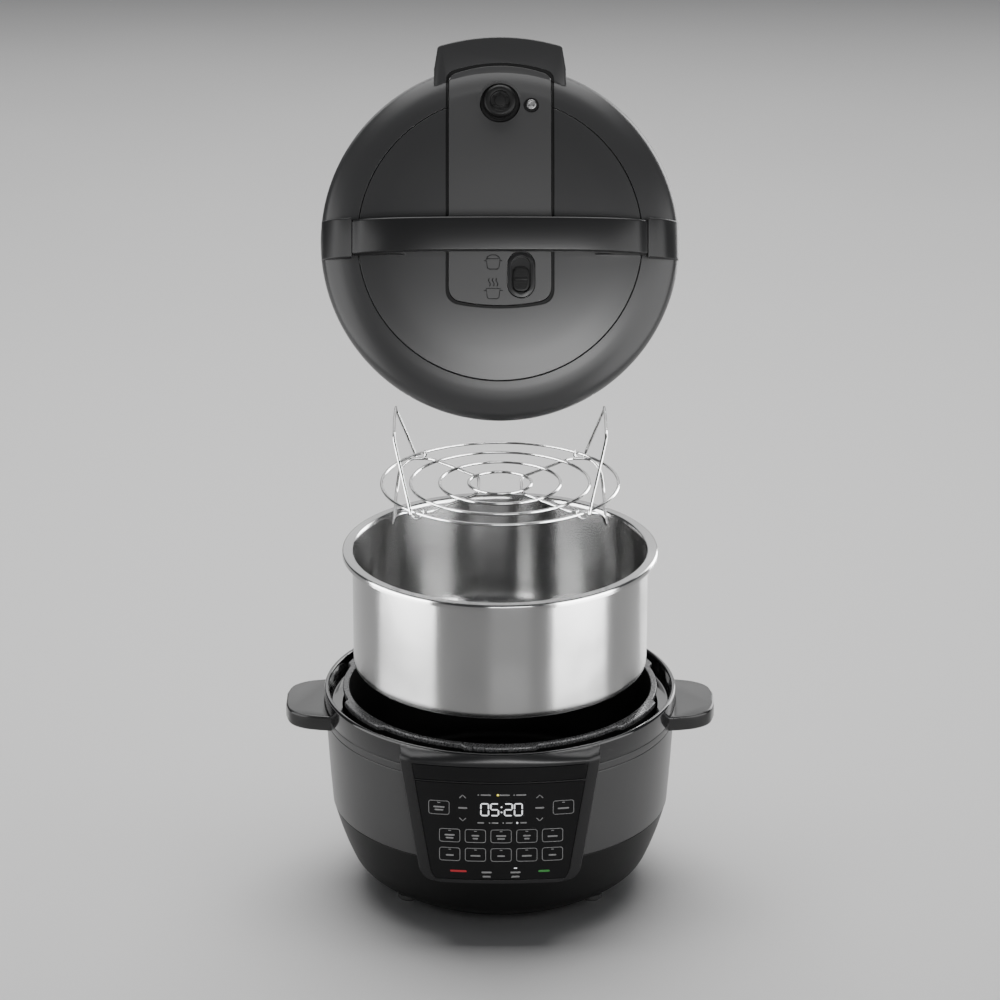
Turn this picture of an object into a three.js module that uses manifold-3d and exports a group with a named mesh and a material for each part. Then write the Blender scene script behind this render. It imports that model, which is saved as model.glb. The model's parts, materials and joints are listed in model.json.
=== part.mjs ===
// Electric pressure cooker, drawn as an exploded assembly on one vertical axis.
// Millimetres, +Z up, the front of the cooker faces -Y, the floor is z = 0.
// Every piece is drawn where it sits when the cooker is closed. The pot, the rack
// and the lid are then lifted off by their own groups.
import * as THREE from 'three';
import { mergeVertices } from 'three/addons/utils/BufferGeometryUtils.js';
import Module from 'manifold-3d';

const wasm = await Module();
wasm.setup();

// ---- Driving dimensions ----
const SEGMENTS = 36; // facets round the large turned parts
const BODY_PROFILE = [ // outside of the base, radius and height
  [110, 6], [121, 12.4], [137, 24], [145.5, 40], [153, 60], [159.7, 82],
  [162.7, 120], [165.2, 160], [166.8, 196],
];
const LOWER_SEAM = 82; // between the lower shell and the middle shell
const TRIM_SEAM = 167; // between the middle shell and the trim band
const COLLAR_SEAM = 174.6; // between the trim band and the collar
const COLLAR_TOP = 196.4;
const WALL = 2.6; // usual wall of a moulded part
const SEAM = 0.4; // gap drawn between two parts that touch

const INLET_PINS = [[-7, 49], [7, 49], [0, 55]]; // x and z of each

const WELL_RADIUS = 143; // inside of the well that takes the pot
const FLANGE_TOP = 197;
const FLANGE_THICK = 4.5;
const FLANGE_RADIUS = 149; // between the lugs
const FLANGE_LUG_RADIUS = 153.5;
const LUG_COUNT = 6;
const LUG_ANGLE = 26; // degrees that one lug takes up

const POT_RADIUS = 138.6; // outside of the wall
const POT_RIM_RADIUS = 148;
const POT_WALL = 1.4;
const POT_TOP = 202.3;
const POT_HEIGHT = 118;
const POT_CORNER = 26;

const RACK_RINGS = [110.4, 83.4, 56.3, 29.3];
const RACK_WIRE = 1.45;
const RACK_PLANE = 114; // height of the rings with the rack in the pot
const RACK_FOOT = 26; // how far the foot bars are below the rings
const HANDLE_HINGE_X = 76;
const HANDLE_HINGE_Y = 80;

const LID_RADIUS = 164.4;
const LID_SEAM_RADIUS = 129.7;
const STRIP_HALF_WIDTH = 46.6;
const STRIP_FRONT = -61.6;
const STRIP_BACK = 160;
const STRIP_END_TOP = 217.6; // level end of the strip, over the tab
const TAB_RADIUS = 187;
const TAB_TOP = 216.4;
const VALVE_Y = 124.6;
const FLOAT_X = 28.6;
const FLOAT_Y = 122.6;
const SWITCH_X = 19.2;
const SWITCH_Y = -33.9;
const HANDLE_WIDTH = 31;
const TILT_HEIGHT = 219; // level in the lid about which the lifted lid is tilted

const AXIS_Y = -8; // the turning axis, placed so that the outline is centred on y = 0
const POT_LIFT = 132.5;
const RACK_LIFT = 152.5;
const LID_LIFT = 131.5;
const LID_TILT = 66; // degrees, top of the lid towards the front

// ---- Solids ----
function signedVolume(position, index) {
  const a = new THREE.Vector3();
  const b = new THREE.Vector3();
  const c = new THREE.Vector3();
  let sum = 0;
  for (let i = 0; i < index.length; i += 3) {
    a.fromArray(position, index[i] * 3);
    b.fromArray(position, index[i + 1] * 3);
    c.fromArray(position, index[i + 2] * 3);
    sum += a.dot(b.cross(c));
  }
  return sum;
}

// A three.js geometry as a closed solid that faces outwards.
function solid(geometry) {
  geometry.deleteAttribute('normal');
  geometry.deleteAttribute('uv');
  const merged = mergeVertices(geometry, 1e-4);
  const position = merged.attributes.position.array;
  const source = merged.index.array;
  const kept = [];
  for (let i = 0; i < source.length; i += 3) {
    const [a, b, c] = [source[i], source[i + 1], source[i + 2]];
    if (a !== b && b !== c && c !== a) kept.push(a, b, c);
  }
  if (signedVolume(position, kept) < 0) kept.reverse();
  const mesh = new wasm.Mesh({
    numProp: 3,
    vertProperties: Float32Array.from(position),
    triVerts: Uint32Array.from(kept),
  });
  return new wasm.Manifold(mesh);
}

function geometryOf(body) {
  const mesh = body.getMesh();
  const geometry = new THREE.BufferGeometry();
  const position = Float32Array.from(mesh.vertProperties);
  geometry.setAttribute('position', new THREE.BufferAttribute(position, 3));
  geometry.setIndex(new THREE.BufferAttribute(Uint32Array.from(mesh.triVerts), 1));
  geometry.computeVertexNormals();
  return geometry;
}

// Solid of revolution about a vertical line through (x, y).
function turned(profile, segments = SEGMENTS, x = 0, y = 0) {
  const points = profile.map(([r, z]) => new THREE.Vector2(r, z));
  const geometry = new THREE.LatheGeometry(points, segments);
  geometry.rotateX(Math.PI / 2);
  geometry.translate(x, y, 0);
  return solid(geometry);
}

function closed(profile) {
  return [...profile, profile[0]];
}

function disc(radius, z0, z1, segments = SEGMENTS, x = 0, y = 0) {
  return turned([[0, z0], [radius, z0], [radius, z1], [0, z1]], segments, x, y);
}

function box(x0, x1, y0, y1, z0, z1) {
  const geometry = new THREE.BoxGeometry(x1 - x0, y1 - y0, z1 - z0);
  geometry.translate((x0 + x1) / 2, (y0 + y1) / 2, (z0 + z1) / 2);
  return solid(geometry);
}

// A plan outline made into a slab between two heights.
function slab(shape, z0, z1, curveSegments = 6) {
  const settings = { depth: z1 - z0, bevelEnabled: false, curveSegments };
  const geometry = new THREE.ExtrudeGeometry(shape, settings);
  geometry.translate(0, 0, z0);
  return solid(geometry);
}

// A front outline (x, z) carried from y0 to y1.
function carriedInY(outline, y0, y1) {
  const shape = new THREE.Shape(outline.map(([x, z]) => new THREE.Vector2(x, z)));
  const geometry = new THREE.ExtrudeGeometry(shape, { depth: y1 - y0, bevelEnabled: false });
  geometry.rotateX(Math.PI / 2);
  geometry.translate(0, y1, 0);
  return solid(geometry);
}

function roundedRectangle(x0, x1, y0, y1, radius) {
  const shape = new THREE.Shape();
  shape.moveTo(x0 + radius, y0);
  shape.lineTo(x1 - radius, y0);
  shape.absarc(x1 - radius, y0 + radius, radius, -Math.PI / 2, 0, false);
  shape.lineTo(x1, y1 - radius);
  shape.absarc(x1 - radius, y1 - radius, radius, 0, Math.PI / 2, false);
  shape.lineTo(x0 + radius, y1);
  shape.absarc(x0 + radius, y1 - radius, radius, Math.PI / 2, Math.PI, false);
  shape.lineTo(x0, y0 + radius);
  shape.absarc(x0 + radius, y0 + radius, radius, Math.PI, 1.5 * Math.PI, false);
  return shape;
}

// Round wire along a smooth line through the points.
function wire(points, radius, steps) {
  const line = new THREE.CatmullRomCurve3(
    points.map(([x, y, z]) => new THREE.Vector3(x, y, z)), false, 'catmullrom', 0.2);
  const section = new THREE.Shape();
  section.absarc(0, 0, radius, 0, 2 * Math.PI, false);
  const settings = { steps, extrudePath: line, curveSegments: 3, bevelEnabled: false };
  return solid(new THREE.ExtrudeGeometry(section, settings));
}

function wireRing(radius, height, wireRadius, segments) {
  const section = [];
  for (let i = 0; i < 6; i += 1) {
    const angle = (i * Math.PI) / 3;
    section.push([radius + wireRadius * Math.cos(angle), height + wireRadius * Math.sin(angle)]);
  }
  return turned(closed(section), segments);
}

// Skin between equal rings of points, with flat ends.
function loft(rings) {
  const count = rings[0].length;
  const position = rings.flat(2);
  const index = [];
  for (let level = 0; level + 1 < rings.length; level += 1) {
    for (let i = 0; i < count; i += 1) {
      const a = level * count + i;
      const b = level * count + ((i + 1) % count);
      index.push(a, b, b + count, a, b + count, a + count);
    }
  }
  const ends = [0, rings.length - 1];
  for (const level of ends) {
    const outline = rings[level].map(([x, y]) => new THREE.Vector2(x, y));
    for (const [a, b, c] of THREE.ShapeUtils.triangulateShape(outline, [])) {
      const base = level * count;
      if (level === 0) index.push(base + a, base + c, base + b);
      else index.push(base + a, base + b, base + c);
    }
  }
  const geometry = new THREE.BufferGeometry();
  geometry.setAttribute('position', new THREE.Float32BufferAttribute(position, 3));
  geometry.setIndex(index);
  return solid(geometry);
}

function sumOf(bodies) {
  return bodies.reduce((total, body) => total.add(body));
}

// ---- Materials ----
function material(colour, roughness, metalness) {
  return new THREE.MeshStandardMaterial({ color: colour, roughness, metalness, flatShading: true });
}
const satinCharcoal = () => material(0x3b3c3e, 0.45, 0);
const darkCharcoal = () => material(0x1d1d1f, 0.5, 0);
const satinGrey = () => material(0x4a4a4b, 0.4, 0);
const matteBlack = () => material(0x0d0d0d, 0.75, 0);
const glossBlack = () => material(0x070708, 0.12, 0);
const rubber = () => material(0x161616, 0.9, 0);
const mirrorSteel = () => material(0xd6d6d6, 0.08, 1);
const brushedSteel = () => material(0xb9b9b9, 0.3, 1);
const wireSteel = () => material(0xc9c9c9, 0.18, 1);
const castAluminium = () => material(0x9a9a9a, 0.5, 1);
const enamelBlack = () => material(0x1b1b1c, 0.35, 0.4);
const silicone = () => material(0xd9d5cc, 0.6, 0);
const circuitGreen = () => material(0x1f5a35, 0.6, 0);
const smokedPlastic = () => material(0x2a2d30, 0.25, 0);

function piece(name, body, finish) {
  const mesh = new THREE.Mesh(geometryOf(body), finish);
  mesh.name = name;
  return mesh;
}

// ---- Shapes that several parts share ----
function bodyRadiusAt(height) {
  for (let i = 0; i + 1 < BODY_PROFILE.length; i += 1) {
    const [r0, z0] = BODY_PROFILE[i];
    const [r1, z1] = BODY_PROFILE[i + 1];
    if (height <= z1) return r0 + ((r1 - r0) * (height - z0)) / (z1 - z0);
  }
  return BODY_PROFILE[BODY_PROFILE.length - 1][0];
}

// The whole outside of the base, grown by a margin.
function bodyEnvelope(margin) {
  const side = BODY_PROFILE.map(([r, z]) => [r + margin, z]);
  return turned([[0, 6], ...side, [0, 196]]);
}

// Top surface of the closed lid, raised by a margin.
const LID_TOP_PROFILE = [
  [LID_RADIUS - 1.2, 206.5], [159.4, 212.4], [150, 218], [140, 221.6], [LID_SEAM_RADIUS, 224.2],
  [100, 228.6], [60, 231.6],
];
function lidCore(margin) {
  const side = LID_TOP_PROFILE.map(([r, z]) => [r, z + margin]);
  return turned([
    [0, 190], [LID_RADIUS, 190], [LID_RADIUS, 201 + margin], ...side, [0, 233 + margin],
  ]);
}

// Plan outline of the raised strip on the lid, grown by a margin.
function stripOutline(margin) {
  const w = STRIP_HALF_WIDTH + margin;
  const front = STRIP_FRONT - margin;
  const back = STRIP_BACK + margin;
  const shape = new THREE.Shape();
  shape.moveTo(-w, front + 18);
  shape.quadraticCurveTo(-w, front + 5, -w + 13, front + 3.2);
  shape.quadraticCurveTo(0, front - 3.2, w - 13, front + 3.2);
  shape.quadraticCurveTo(w, front + 5, w, front + 18);
  shape.lineTo(w, back - 16);
  shape.quadraticCurveTo(w, back - 8, w - 9, back - 6);
  shape.quadraticCurveTo(0, back + 6, -w + 9, back - 6);
  shape.quadraticCurveTo(-w, back - 8, -w, back - 16);
  shape.closePath();
  return shape;
}

// Upright wedge of the given angle, used to cut lugs out of a ring.
function wedge(middleDegrees, angleDegrees, z0, z1) {
  const shape = new THREE.Shape();
  shape.moveTo(0, 0);
  for (const side of [-0.5, -0.17, 0.17, 0.5]) {
    const angle = THREE.MathUtils.degToRad(middleDegrees + side * angleDegrees);
    shape.lineTo(220 * Math.cos(angle), 220 * Math.sin(angle));
  }
  shape.closePath();
  return slab(shape, z0, z1);
}

function lugs(ringProfile, firstDegrees) {
  const ring = turned(closed(ringProfile));
  const heights = ringProfile.map(([, z]) => z);
  const found = [];
  for (let i = 0; i < LUG_COUNT; i += 1) {
    const middle = firstDegrees + (i * 360) / LUG_COUNT;
    const cutter = wedge(middle, LUG_ANGLE, Math.min(...heights) - 1, Math.max(...heights) + 1);
    found.push(ring.intersect(cutter));
  }
  return sumOf(found);
}

// ---- Base ----
function lowerShell() {
  const outer = BODY_PROFILE.filter(([, z]) => z <= LOWER_SEAM - 1);
  const top = [bodyRadiusAt(LOWER_SEAM) - 0.1, LOWER_SEAM - SEAM];
  const inner = [
    [top[0] - WALL, top[1]], [150.2, 61], [142.6, 41.4], [134.2, 26.2], [119.4, 15.2],
    [110, 9.2], [106, 9.2], [106, 6],
  ];
  const bowl = turned(closed([...outer, top, ...inner]));
  return bowl.subtract(box(-15.5, 15.5, 120, 170, 40.5, 63.5));
}

function basePlate() {
  let plate = turned([[0, 6.6], [105.4, 6.6], [105.4, 9.4], [0, 9.4]], 40);
  for (let i = -4; i <= 4; i += 1) {
    if (i !== 0) plate = plate.subtract(box(i * 9 - 2, i * 9 + 2, -32, 32, 5, 11));
  }
  return plate;
}

function foot(x, y) {
  return turned([[0, 0], [8.4, 0], [9.8, 1.2], [9.8, 5.6], [0, 5.6]], 20, x, y);
}

function panelOpening() {
  return box(-52, 52, -175, -140, 92, 162);
}

function midShell() {
  const bottom = [bodyRadiusAt(LOWER_SEAM) + 0.1, LOWER_SEAM + SEAM - 0.2];
  const top = [bodyRadiusAt(TRIM_SEAM) - 0.2, TRIM_SEAM - SEAM];
  const shell = turned(closed([
    bottom, [162.7, 120], top, [top[0] - WALL, top[1]], [160.1, 120], [bottom[0] - WALL, bottom[1]],
  ]));
  return shell.subtract(panelOpening());
}

function trimBand() {
  const r = bodyRadiusAt(TRIM_SEAM);
  return turned(closed([
    [r, TRIM_SEAM], [r + 0.3, COLLAR_SEAM - 0.2], [r - 3, COLLAR_SEAM - 0.2], [r - 3, TRIM_SEAM],
  ]));
}

// The collar carries the groove that the skirt of the lid stands in.
function topCollar() {
  const r = bodyRadiusAt(196);
  return turned(closed([
    [166, COLLAR_SEAM + SEAM], [r, 195.2], [r - 1.2, COLLAR_TOP], [r - 3.3, COLLAR_TOP],
    [r - 4.4, 195], [r - 4.6, 180], [r - 6.6, 178.2], [150, 177], [150, COLLAR_SEAM + SEAM],
  ]));
}

function well() {
  const wall = turned(closed([
    [WELL_RADIUS, 78.4], [WELL_RADIUS, FLANGE_TOP - 1], [WELL_RADIUS + 1, FLANGE_TOP],
    [FLANGE_RADIUS - 1, FLANGE_TOP], [FLANGE_RADIUS, FLANGE_TOP - 1],
    [FLANGE_RADIUS, FLANGE_TOP - FLANGE_THICK], [WELL_RADIUS + 2.5, FLANGE_TOP - FLANGE_THICK],
    [WELL_RADIUS + 2.5, 76], [114, 76], [114, 78.4],
  ]));
  const lugRing = [
    [WELL_RADIUS + 1, FLANGE_TOP], [FLANGE_LUG_RADIUS - 1.4, FLANGE_TOP],
    [FLANGE_LUG_RADIUS, FLANGE_TOP - 1.4], [FLANGE_LUG_RADIUS, FLANGE_TOP - FLANGE_THICK],
    [WELL_RADIUS + 1, FLANGE_TOP - FLANGE_THICK],
  ];
  return wall.add(lugs(lugRing, 30));
}

function heatingPlate() {
  const plate = turned(closed([
    [10.2, 74], [104, 74], [111.6, 77.4], [111.6, 82], [108, 83.8], [10.2, 83.8],
  ]), 36);
  return plate;
}

function heatingElement() {
  const points = [];
  for (let i = 0; i <= 12; i += 1) {
    const angle = THREE.MathUtils.degToRad(-80 + (340 * i) / 12);
    points.push([78 * Math.sin(angle), 78 * Math.cos(angle), 69.4]);
  }
  points.unshift([points[0][0] + 6, points[0][1] - 3, 60]);
  points.push([points[points.length - 1][0] - 6, points[points.length - 1][1] - 3, 60]);
  return wire(points, 4, 24);
}

function heatShield() {
  return turned([
    [0, 50], [108, 50], [124, 60], [124, 68], [122.4, 68], [122.4, 61], [107.4, 51.6], [0, 51.6],
  ], 32);
}

function temperatureSensor() {
  return turned([[0, 62], [4.6, 62], [4.6, 72], [9.6, 74.5], [9.6, 83], [8.6, 84], [0, 84]], 20);
}

function panelRing(height, front, planRadius, halfWidth, backY) {
  const ring = [];
  const edge = Math.asin(halfWidth / planRadius);
  for (let i = 0; i <= 12; i += 1) {
    const angle = -edge + (2 * edge * i) / 12;
    const y = front + planRadius * (1 - Math.cos(angle));
    ring.push([planRadius * Math.sin(angle), y, height]);
  }
  ring.push([halfWidth, backY, height], [-halfWidth, backY, height]);
  return ring;
}

// The front of the control panel at a height: place at the middle, plan radius, half width.
function panelAt(height) {
  const low = { z: 66, front: -166.4, radius: 450, half: 73 };
  const high = { z: 187, front: -171.2, radius: 330, half: 92 };
  const t = (height - low.z) / (high.z - low.z);
  return {
    front: low.front + t * (high.front - low.front),
    radius: low.radius + t * (high.radius - low.radius),
    half: low.half + t * (high.half - low.half),
  };
}

function panelSlice(z0, z1, inset, sideInset, backY) {
  const rings = [];
  for (const z of [z0, (z0 + z1) / 2, z1]) {
    const at = panelAt(z);
    rings.push(panelRing(z, at.front + inset, at.radius - inset, at.half - sideInset, backY));
  }
  return loft(rings);
}

function panelShield() {
  const lower = panelSlice(66, 187, 0, 0, -120);
  const at = panelAt(187);
  const cap = loft([
    panelRing(187, at.front, at.radius, at.half, -120),
    panelRing(195.4, -168.4, 168.4, at.half - 0.4, -120),
  ]);
  const lensPocket = panelSlice(69.6, 168.9, -4, 10.7, -130)
    .subtract(panelSlice(60, 175, 1.5, 0, -110));
  const bandPocket = panelSlice(169.9, 185.4, -4, 10.7, -130)
    .subtract(panelSlice(160, 195, 1.5, 0, -110));
  const hollow = panelSlice(70, 172, 4, 4, -110);
  return lower.add(cap).subtract(bodyEnvelope(0.6)).subtract(lensPocket)
    .subtract(bandPocket).subtract(hollow);
}

function panelLens() {
  return panelSlice(70, 168.5, 0, 11, -130).subtract(panelSlice(60, 175, 1.2, 0, -110));
}

function nameBand() {
  return panelSlice(170.3, 185, 0, 11, -130).subtract(panelSlice(160, 195, 1.2, 0, -110));
}

function controlBoard() {
  const board = box(-48, 48, -151, -149.4, 95, 160);
  const parts = [box(-40, -28, -153.4, -150.5, 100, 108), box(20, 34, -153.4, -150.5, 100, 106)];
  return sumOf([board, ...parts]);
}

function displayModule() {
  return box(-23, 23, -163.8, -151.6, 133, 147);
}

function powerBoard() {
  return sumOf([
    box(-50, 50, -20, 60, 14, 15.8),
    box(-42, -14, 8, 42, 15, 40),
    disc(8, 15, 38, 16, 8, 30),
    disc(6, 15, 34, 16, 28, 34),
    box(12, 36, -12, 4, 15, 30),
  ]);
}

function powerInlet() {
  const bores = INLET_PINS.map(([x, z]) => box(x - 1.6, x + 1.6, 120, 150, z - 2.6, z + 2.6));
  return box(-15, 15, 128, 158.5, 41, 63).subtract(box(-12, 12, 141, 160, 44, 60))
    .subtract(sumOf(bores));
}

function inletPin([x, z]) {
  return box(x - 1.2, x + 1.2, 126, 152, z - 2.2, z + 2.2);
}

// Plan outline of a carrying handle on the right-hand side, shrunk by an inset.
function carryHandleOutline(inset) {
  const w = 46 - inset;
  const tip = 203 - inset;
  const shape = new THREE.Shape();
  shape.moveTo(140, -w - 3);
  shape.lineTo(162, -w);
  shape.bezierCurveTo(184, -w + 4, tip, -w + 16, tip, -w + 33);
  shape.lineTo(tip, w - 33);
  shape.bezierCurveTo(tip, w - 16, 184, w - 4, 162, w);
  shape.lineTo(140, w + 3);
  shape.closePath();
  return shape;
}

function carryHandle() {
  const block = slab(carryHandleOutline(0), 166, 181);
  const under = slab(carryHandleOutline(3), 160, 177.5);
  const round = turned([[0, 150], [167.3, 150], [167.3, 200], [0, 200]]);
  const root = turned([[0, 150], [170.6, 150], [170.6, 200], [0, 200]]);
  return block.subtract(under.subtract(root)).subtract(round);
}

function mirroredInX(mesh) {
  const geometry = mesh.geometry.clone();
  geometry.scale(-1, 1, 1);
  return solid(geometry);
}

function collectorBracket() {
  const plate = box(-24, 24, 160, 170, 168.6, 173.4).subtract(disc(167.2, 160, 180));
  const drop = box(-24, 24, 150, 170, 126, 173.4).subtract(disc(167.2, 100, 180));
  const pegs = [-16, 16].map((x) => box(x - 2, x + 2, 168, 178, 158, 162));
  return sumOf([plate, drop, ...pegs]);
}

function collector() {
  const outside = slab(roundedRectangle(-31, 31, 170.5, 187.2, 6), 122, 172, 3);
  const inside = slab(roundedRectangle(-29, 29, 172.5, 185.2, 4.5), 124, 180, 3);
  const holes = [-16, 16].map((x) => box(x - 2.4, x + 2.4, 165, 174, 157.6, 162.4));
  return outside.subtract(inside).subtract(sumOf(holes));
}

// ---- Pot ----
function innerPot() {
  const bottom = POT_TOP - POT_HEIGHT;
  const outerCorner = [];
  const innerCorner = [];
  for (let i = 0; i <= 5; i += 1) {
    const angle = (i * Math.PI) / 10;
    const centreR = POT_RADIUS - POT_CORNER;
    const centreZ = bottom + POT_CORNER;
    const inside = POT_CORNER - POT_WALL;
    outerCorner.push([centreR + POT_CORNER * Math.sin(angle), centreZ - POT_CORNER * Math.cos(angle)]);
    innerCorner.unshift([centreR + inside * Math.sin(angle), centreZ - inside * Math.cos(angle)]);
  }
  const underRim = POT_TOP - 4.9;
  return turned([
    [0, bottom], ...outerCorner,
    [POT_RADIUS, POT_TOP - 2.9], [POT_RADIUS + 1.4, POT_TOP - 1.5],
    [POT_RIM_RADIUS - 2.8, POT_TOP - 1.5], [POT_RIM_RADIUS - 1.4, POT_TOP - 2.8],
    [POT_RIM_RADIUS - 1.4, underRim], [POT_RIM_RADIUS, underRim], [POT_RIM_RADIUS, POT_TOP - 1.8],
    [POT_RIM_RADIUS - 2, POT_TOP], [POT_RADIUS + 0.8, POT_TOP], [POT_RADIUS - POT_WALL, POT_TOP - 2],
    ...innerCorner, [0, bottom + POT_WALL],
  ]);
}

// ---- Rack ----
function crossWire(side) {
  const low = RACK_PLANE - 2.2;
  const floor = RACK_PLANE - RACK_FOOT;
  const half = (end) => [
    [20, 0, low], [20, end * 21, low], [40, end * 45, low], [60, end * 69, low],
    [68, end * 72, low], [84, end * 72, low], [93, end * 66, low - 3], [96, end * 58, low - 12],
    [98, end * 50, floor + 4], [98, end * 42, floor], [98, end * -1, floor],
  ].map(([x, y, z]) => [side * x, y, z]);
  const back = half(1);
  const front = half(-1);
  back[0][1] = -1;
  return wire(back, RACK_WIRE, 20).add(wire(front, RACK_WIRE, 20));
}

function rackGrid() {
  const rings = RACK_RINGS.map((r, i) => wireRing(r, RACK_PLANE, RACK_WIRE, i < 2 ? 32 : 20));
  return sumOf([...rings, crossWire(1), crossWire(-1)]);
}

// A lifting handle hooks round the outer ring at two places and swings between them.
function rackHandle() {
  const hook = [];
  for (const degrees of [160, 205, 250, 295, 340]) {
    const angle = THREE.MathUtils.degToRad(degrees);
    hook.push([5.6 * Math.cos(angle), 5.6 * Math.sin(angle)]);
  }
  hook.push([6.2, 3]);
  const end = (y) => hook.map(([x, z]) => [HANDLE_HINGE_X + x, y, RACK_PLANE + z]);
  const top = RACK_PLANE + 62;
  const points = [
    ...end(-HANDLE_HINGE_Y), [96.4, -44, top - 8], [97.4, -35, top], [97.8, 0, top + 1],
    [97.4, 35, top], [96.4, 44, top - 8], ...end(HANDLE_HINGE_Y).reverse(),
  ];
  return wire(points, 1.3, 46);
}

// ---- Lid ----
function tabOutline(inset) {
  const shape = new THREE.Shape();
  const root = 60.5 - inset;
  const end = 57.6 - inset;
  const far = TAB_RADIUS - inset;
  shape.moveTo(-root, 140);
  shape.lineTo(-root, 157);
  shape.lineTo(-end, far - 12.5);
  shape.quadraticCurveTo(-end, far - 8.6, -end + 4, far - 7.6);
  shape.quadraticCurveTo(0, far + 7.6, end - 4, far - 7.6);
  shape.quadraticCurveTo(end, far - 8.6, end, far - 12.5);
  shape.lineTo(root, 157);
  shape.lineTo(root, 140);
  shape.closePath();
  return shape;
}

function lidTab() {
  const block = slab(tabOutline(0), 198, TAB_TOP);
  const under = slab(tabOutline(WALL), 190, TAB_TOP - 3.8);
  return block.subtract(under).subtract(lidCore(-2));
}

function lidRing() {
  const ring = turned(closed([
    [LID_RADIUS - 0.2, 197.6], [LID_RADIUS, 201], [LID_RADIUS - 1.2, 206.5], [159.4, 212.4],
    [150, 218], [140, 221.6], [LID_SEAM_RADIUS + 0.3, 224.1], [LID_SEAM_RADIUS + 0.3, 221.4],
    [140, 219], [149, 215.5], [157, 210.6], [160.6, 205.6], [161.4, 201], [161.4, 197.6],
  ]));
  return ring.add(lidTab()).subtract(slab(stripOutline(0.5), 203, 240));
}

function lidDome() {
  const r = LID_SEAM_RADIUS - 0.3;
  const dome = turned([
    [0, 230.2], [60, 228.8], [99, 225.9], [r - 2.6, 221.8], [r - 2.6, 218.4], [r, 218.4],
    [r, 224.2], [100, 228.6], [60, 231.6], [0, 233],
  ]);
  return dome.subtract(slab(stripOutline(0.5), 200, 240));
}

function centreStrip() {
  const skin = lidCore(1.4).subtract(lidCore(-2.4));
  const endBlock = slab(stripOutline(0), STRIP_END_TOP - 3.2, STRIP_END_TOP)
    .intersect(box(-60, 60, 138, 170, 200, 240));
  const strip = skin.intersect(slab(stripOutline(0), 203, 240)).add(endBlock);
  const recess = disc(17.8, 225.4, 240, 24, 0, VALVE_Y);
  const recessFloor = disc(20.2, 220.4, 225.4, 24, 0, VALVE_Y);
  const stem = disc(5.2, 210, 240, 16, 0, VALVE_Y);
  const floatHole = disc(7, 190, 250, 16, FLOAT_X, FLOAT_Y);
  return strip.add(recessFloor).subtract(recess).subtract(stem).subtract(floatHole)
    .subtract(slab(stadium(12.8, 8.8), 200, 250));
}

// Plan outline of the release switch: end radius and half the straight length.
function stadium(radius, straight) {
  const shape = new THREE.Shape();
  shape.moveTo(SWITCH_X + radius, SWITCH_Y - straight);
  shape.lineTo(SWITCH_X + radius, SWITCH_Y + straight);
  shape.absarc(SWITCH_X, SWITCH_Y + straight, radius, 0, Math.PI, false);
  shape.lineTo(SWITCH_X - radius, SWITCH_Y - straight);
  shape.absarc(SWITCH_X, SWITCH_Y - straight, radius, Math.PI, 2 * Math.PI, false);
  return shape;
}

function switchBezel() {
  return slab(stadium(12.35, 8.8), 226, 234.2).subtract(slab(stadium(8.8, 8.1), 228.4, 240));
}

function releaseSwitch() {
  const foot = slab(roundedRectangle(SWITCH_X - 7.6, SWITCH_X + 7.6, SWITCH_Y - 15.6,
    SWITCH_Y + 7.4, 7.4), 228.8, 233.6);
  const ridge = box(SWITCH_X - 6, SWITCH_X + 6, SWITCH_Y - 6, SWITCH_Y - 3, 233, 236);
  return foot.add(ridge);
}

// The arched handle stands over the lid; a band of air is left for the fingers.
function lidHandle() {
  const outline = [
    [-134, 210], [-134, 237], [-122, 248], [-98, 256.8], [-60, 262.4], [0, 264.5],
    [60, 262.4], [98, 256.8], [122, 248], [134, 237], [134, 210], [86, 210],
    [86, 232.4], [90, 235], [104, 236.4], [92, 244.6], [70, 250.2], [40, 253.4], [0, 254.4],
    [-40, 253.4], [-70, 250.2], [-92, 244.6], [-104, 236.4], [-90, 235], [-86, 232.4], [-86, 210],
  ];
  const half = HANDLE_WIDTH / 2;
  const arch = carriedInY(outline, -half, half);
  return arch.subtract(lidCore(0.3));
}

function handleEnd() {
  const outline = [
    [134.4, 200], [134.4, 236.6], [148, 229], [157, 219.4], [162.4, 210.4], [163.6, 203], [163.6, 200],
  ];
  const half = HANDLE_WIDTH / 2 + 2.6;
  return carriedInY(outline, -half, half).subtract(lidCore(0.3));
}

function steelLid() {
  const shell = turned([
    [0, 212], [145.6, 212], [151, 209.4], [154.6, 206], [154.6, 184], [156.4, 184],
    [156.4, 206.6], [152, 211], [146, 213.8], [0, 213.8],
  ]);
  const lugRing = [[149.9, 186.5], [155.6, 186.5], [155.6, 190.5], [149.9, 190.5]];
  return shell.add(lugs(lugRing, 30))
    .subtract(disc(4.5, 200, 220, 16, 0, VALVE_Y))
    .subtract(disc(4.2, 200, 220, 16, FLOAT_X, FLOAT_Y))
    .subtract(disc(3.6, 200, 220, 16));
}

function sealingRing() {
  return turned(closed([
    [137.2, 203.2], [147.4, 202.8], [148, 209.6], [144.8, 211.6], [137.8, 211.6],
  ]));
}

function lidNut() {
  return sumOf([disc(9, 207.6, 211.7, 6), disc(3.2, 210, 216, 12)]);
}

function vapourCap() {
  const cup = turned([[0, 199.6], [7.4, 199.6], [8, 201], [8, 211.6], [6.6, 211.6], [6.6, 202],
    [0, 202]], 20, 0, VALVE_Y);
  return cup.subtract(box(-1.5, 1.5, VALVE_Y - 10, VALVE_Y, 203, 209));
}

function valvePipe() {
  return turned(closed([
    [2, 205], [4.1, 205], [4.1, 214.2], [7, 214.2], [7, 217], [4.1, 217], [4.1, 230], [2, 231],
  ]), 16, 0, VALVE_Y);
}

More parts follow.
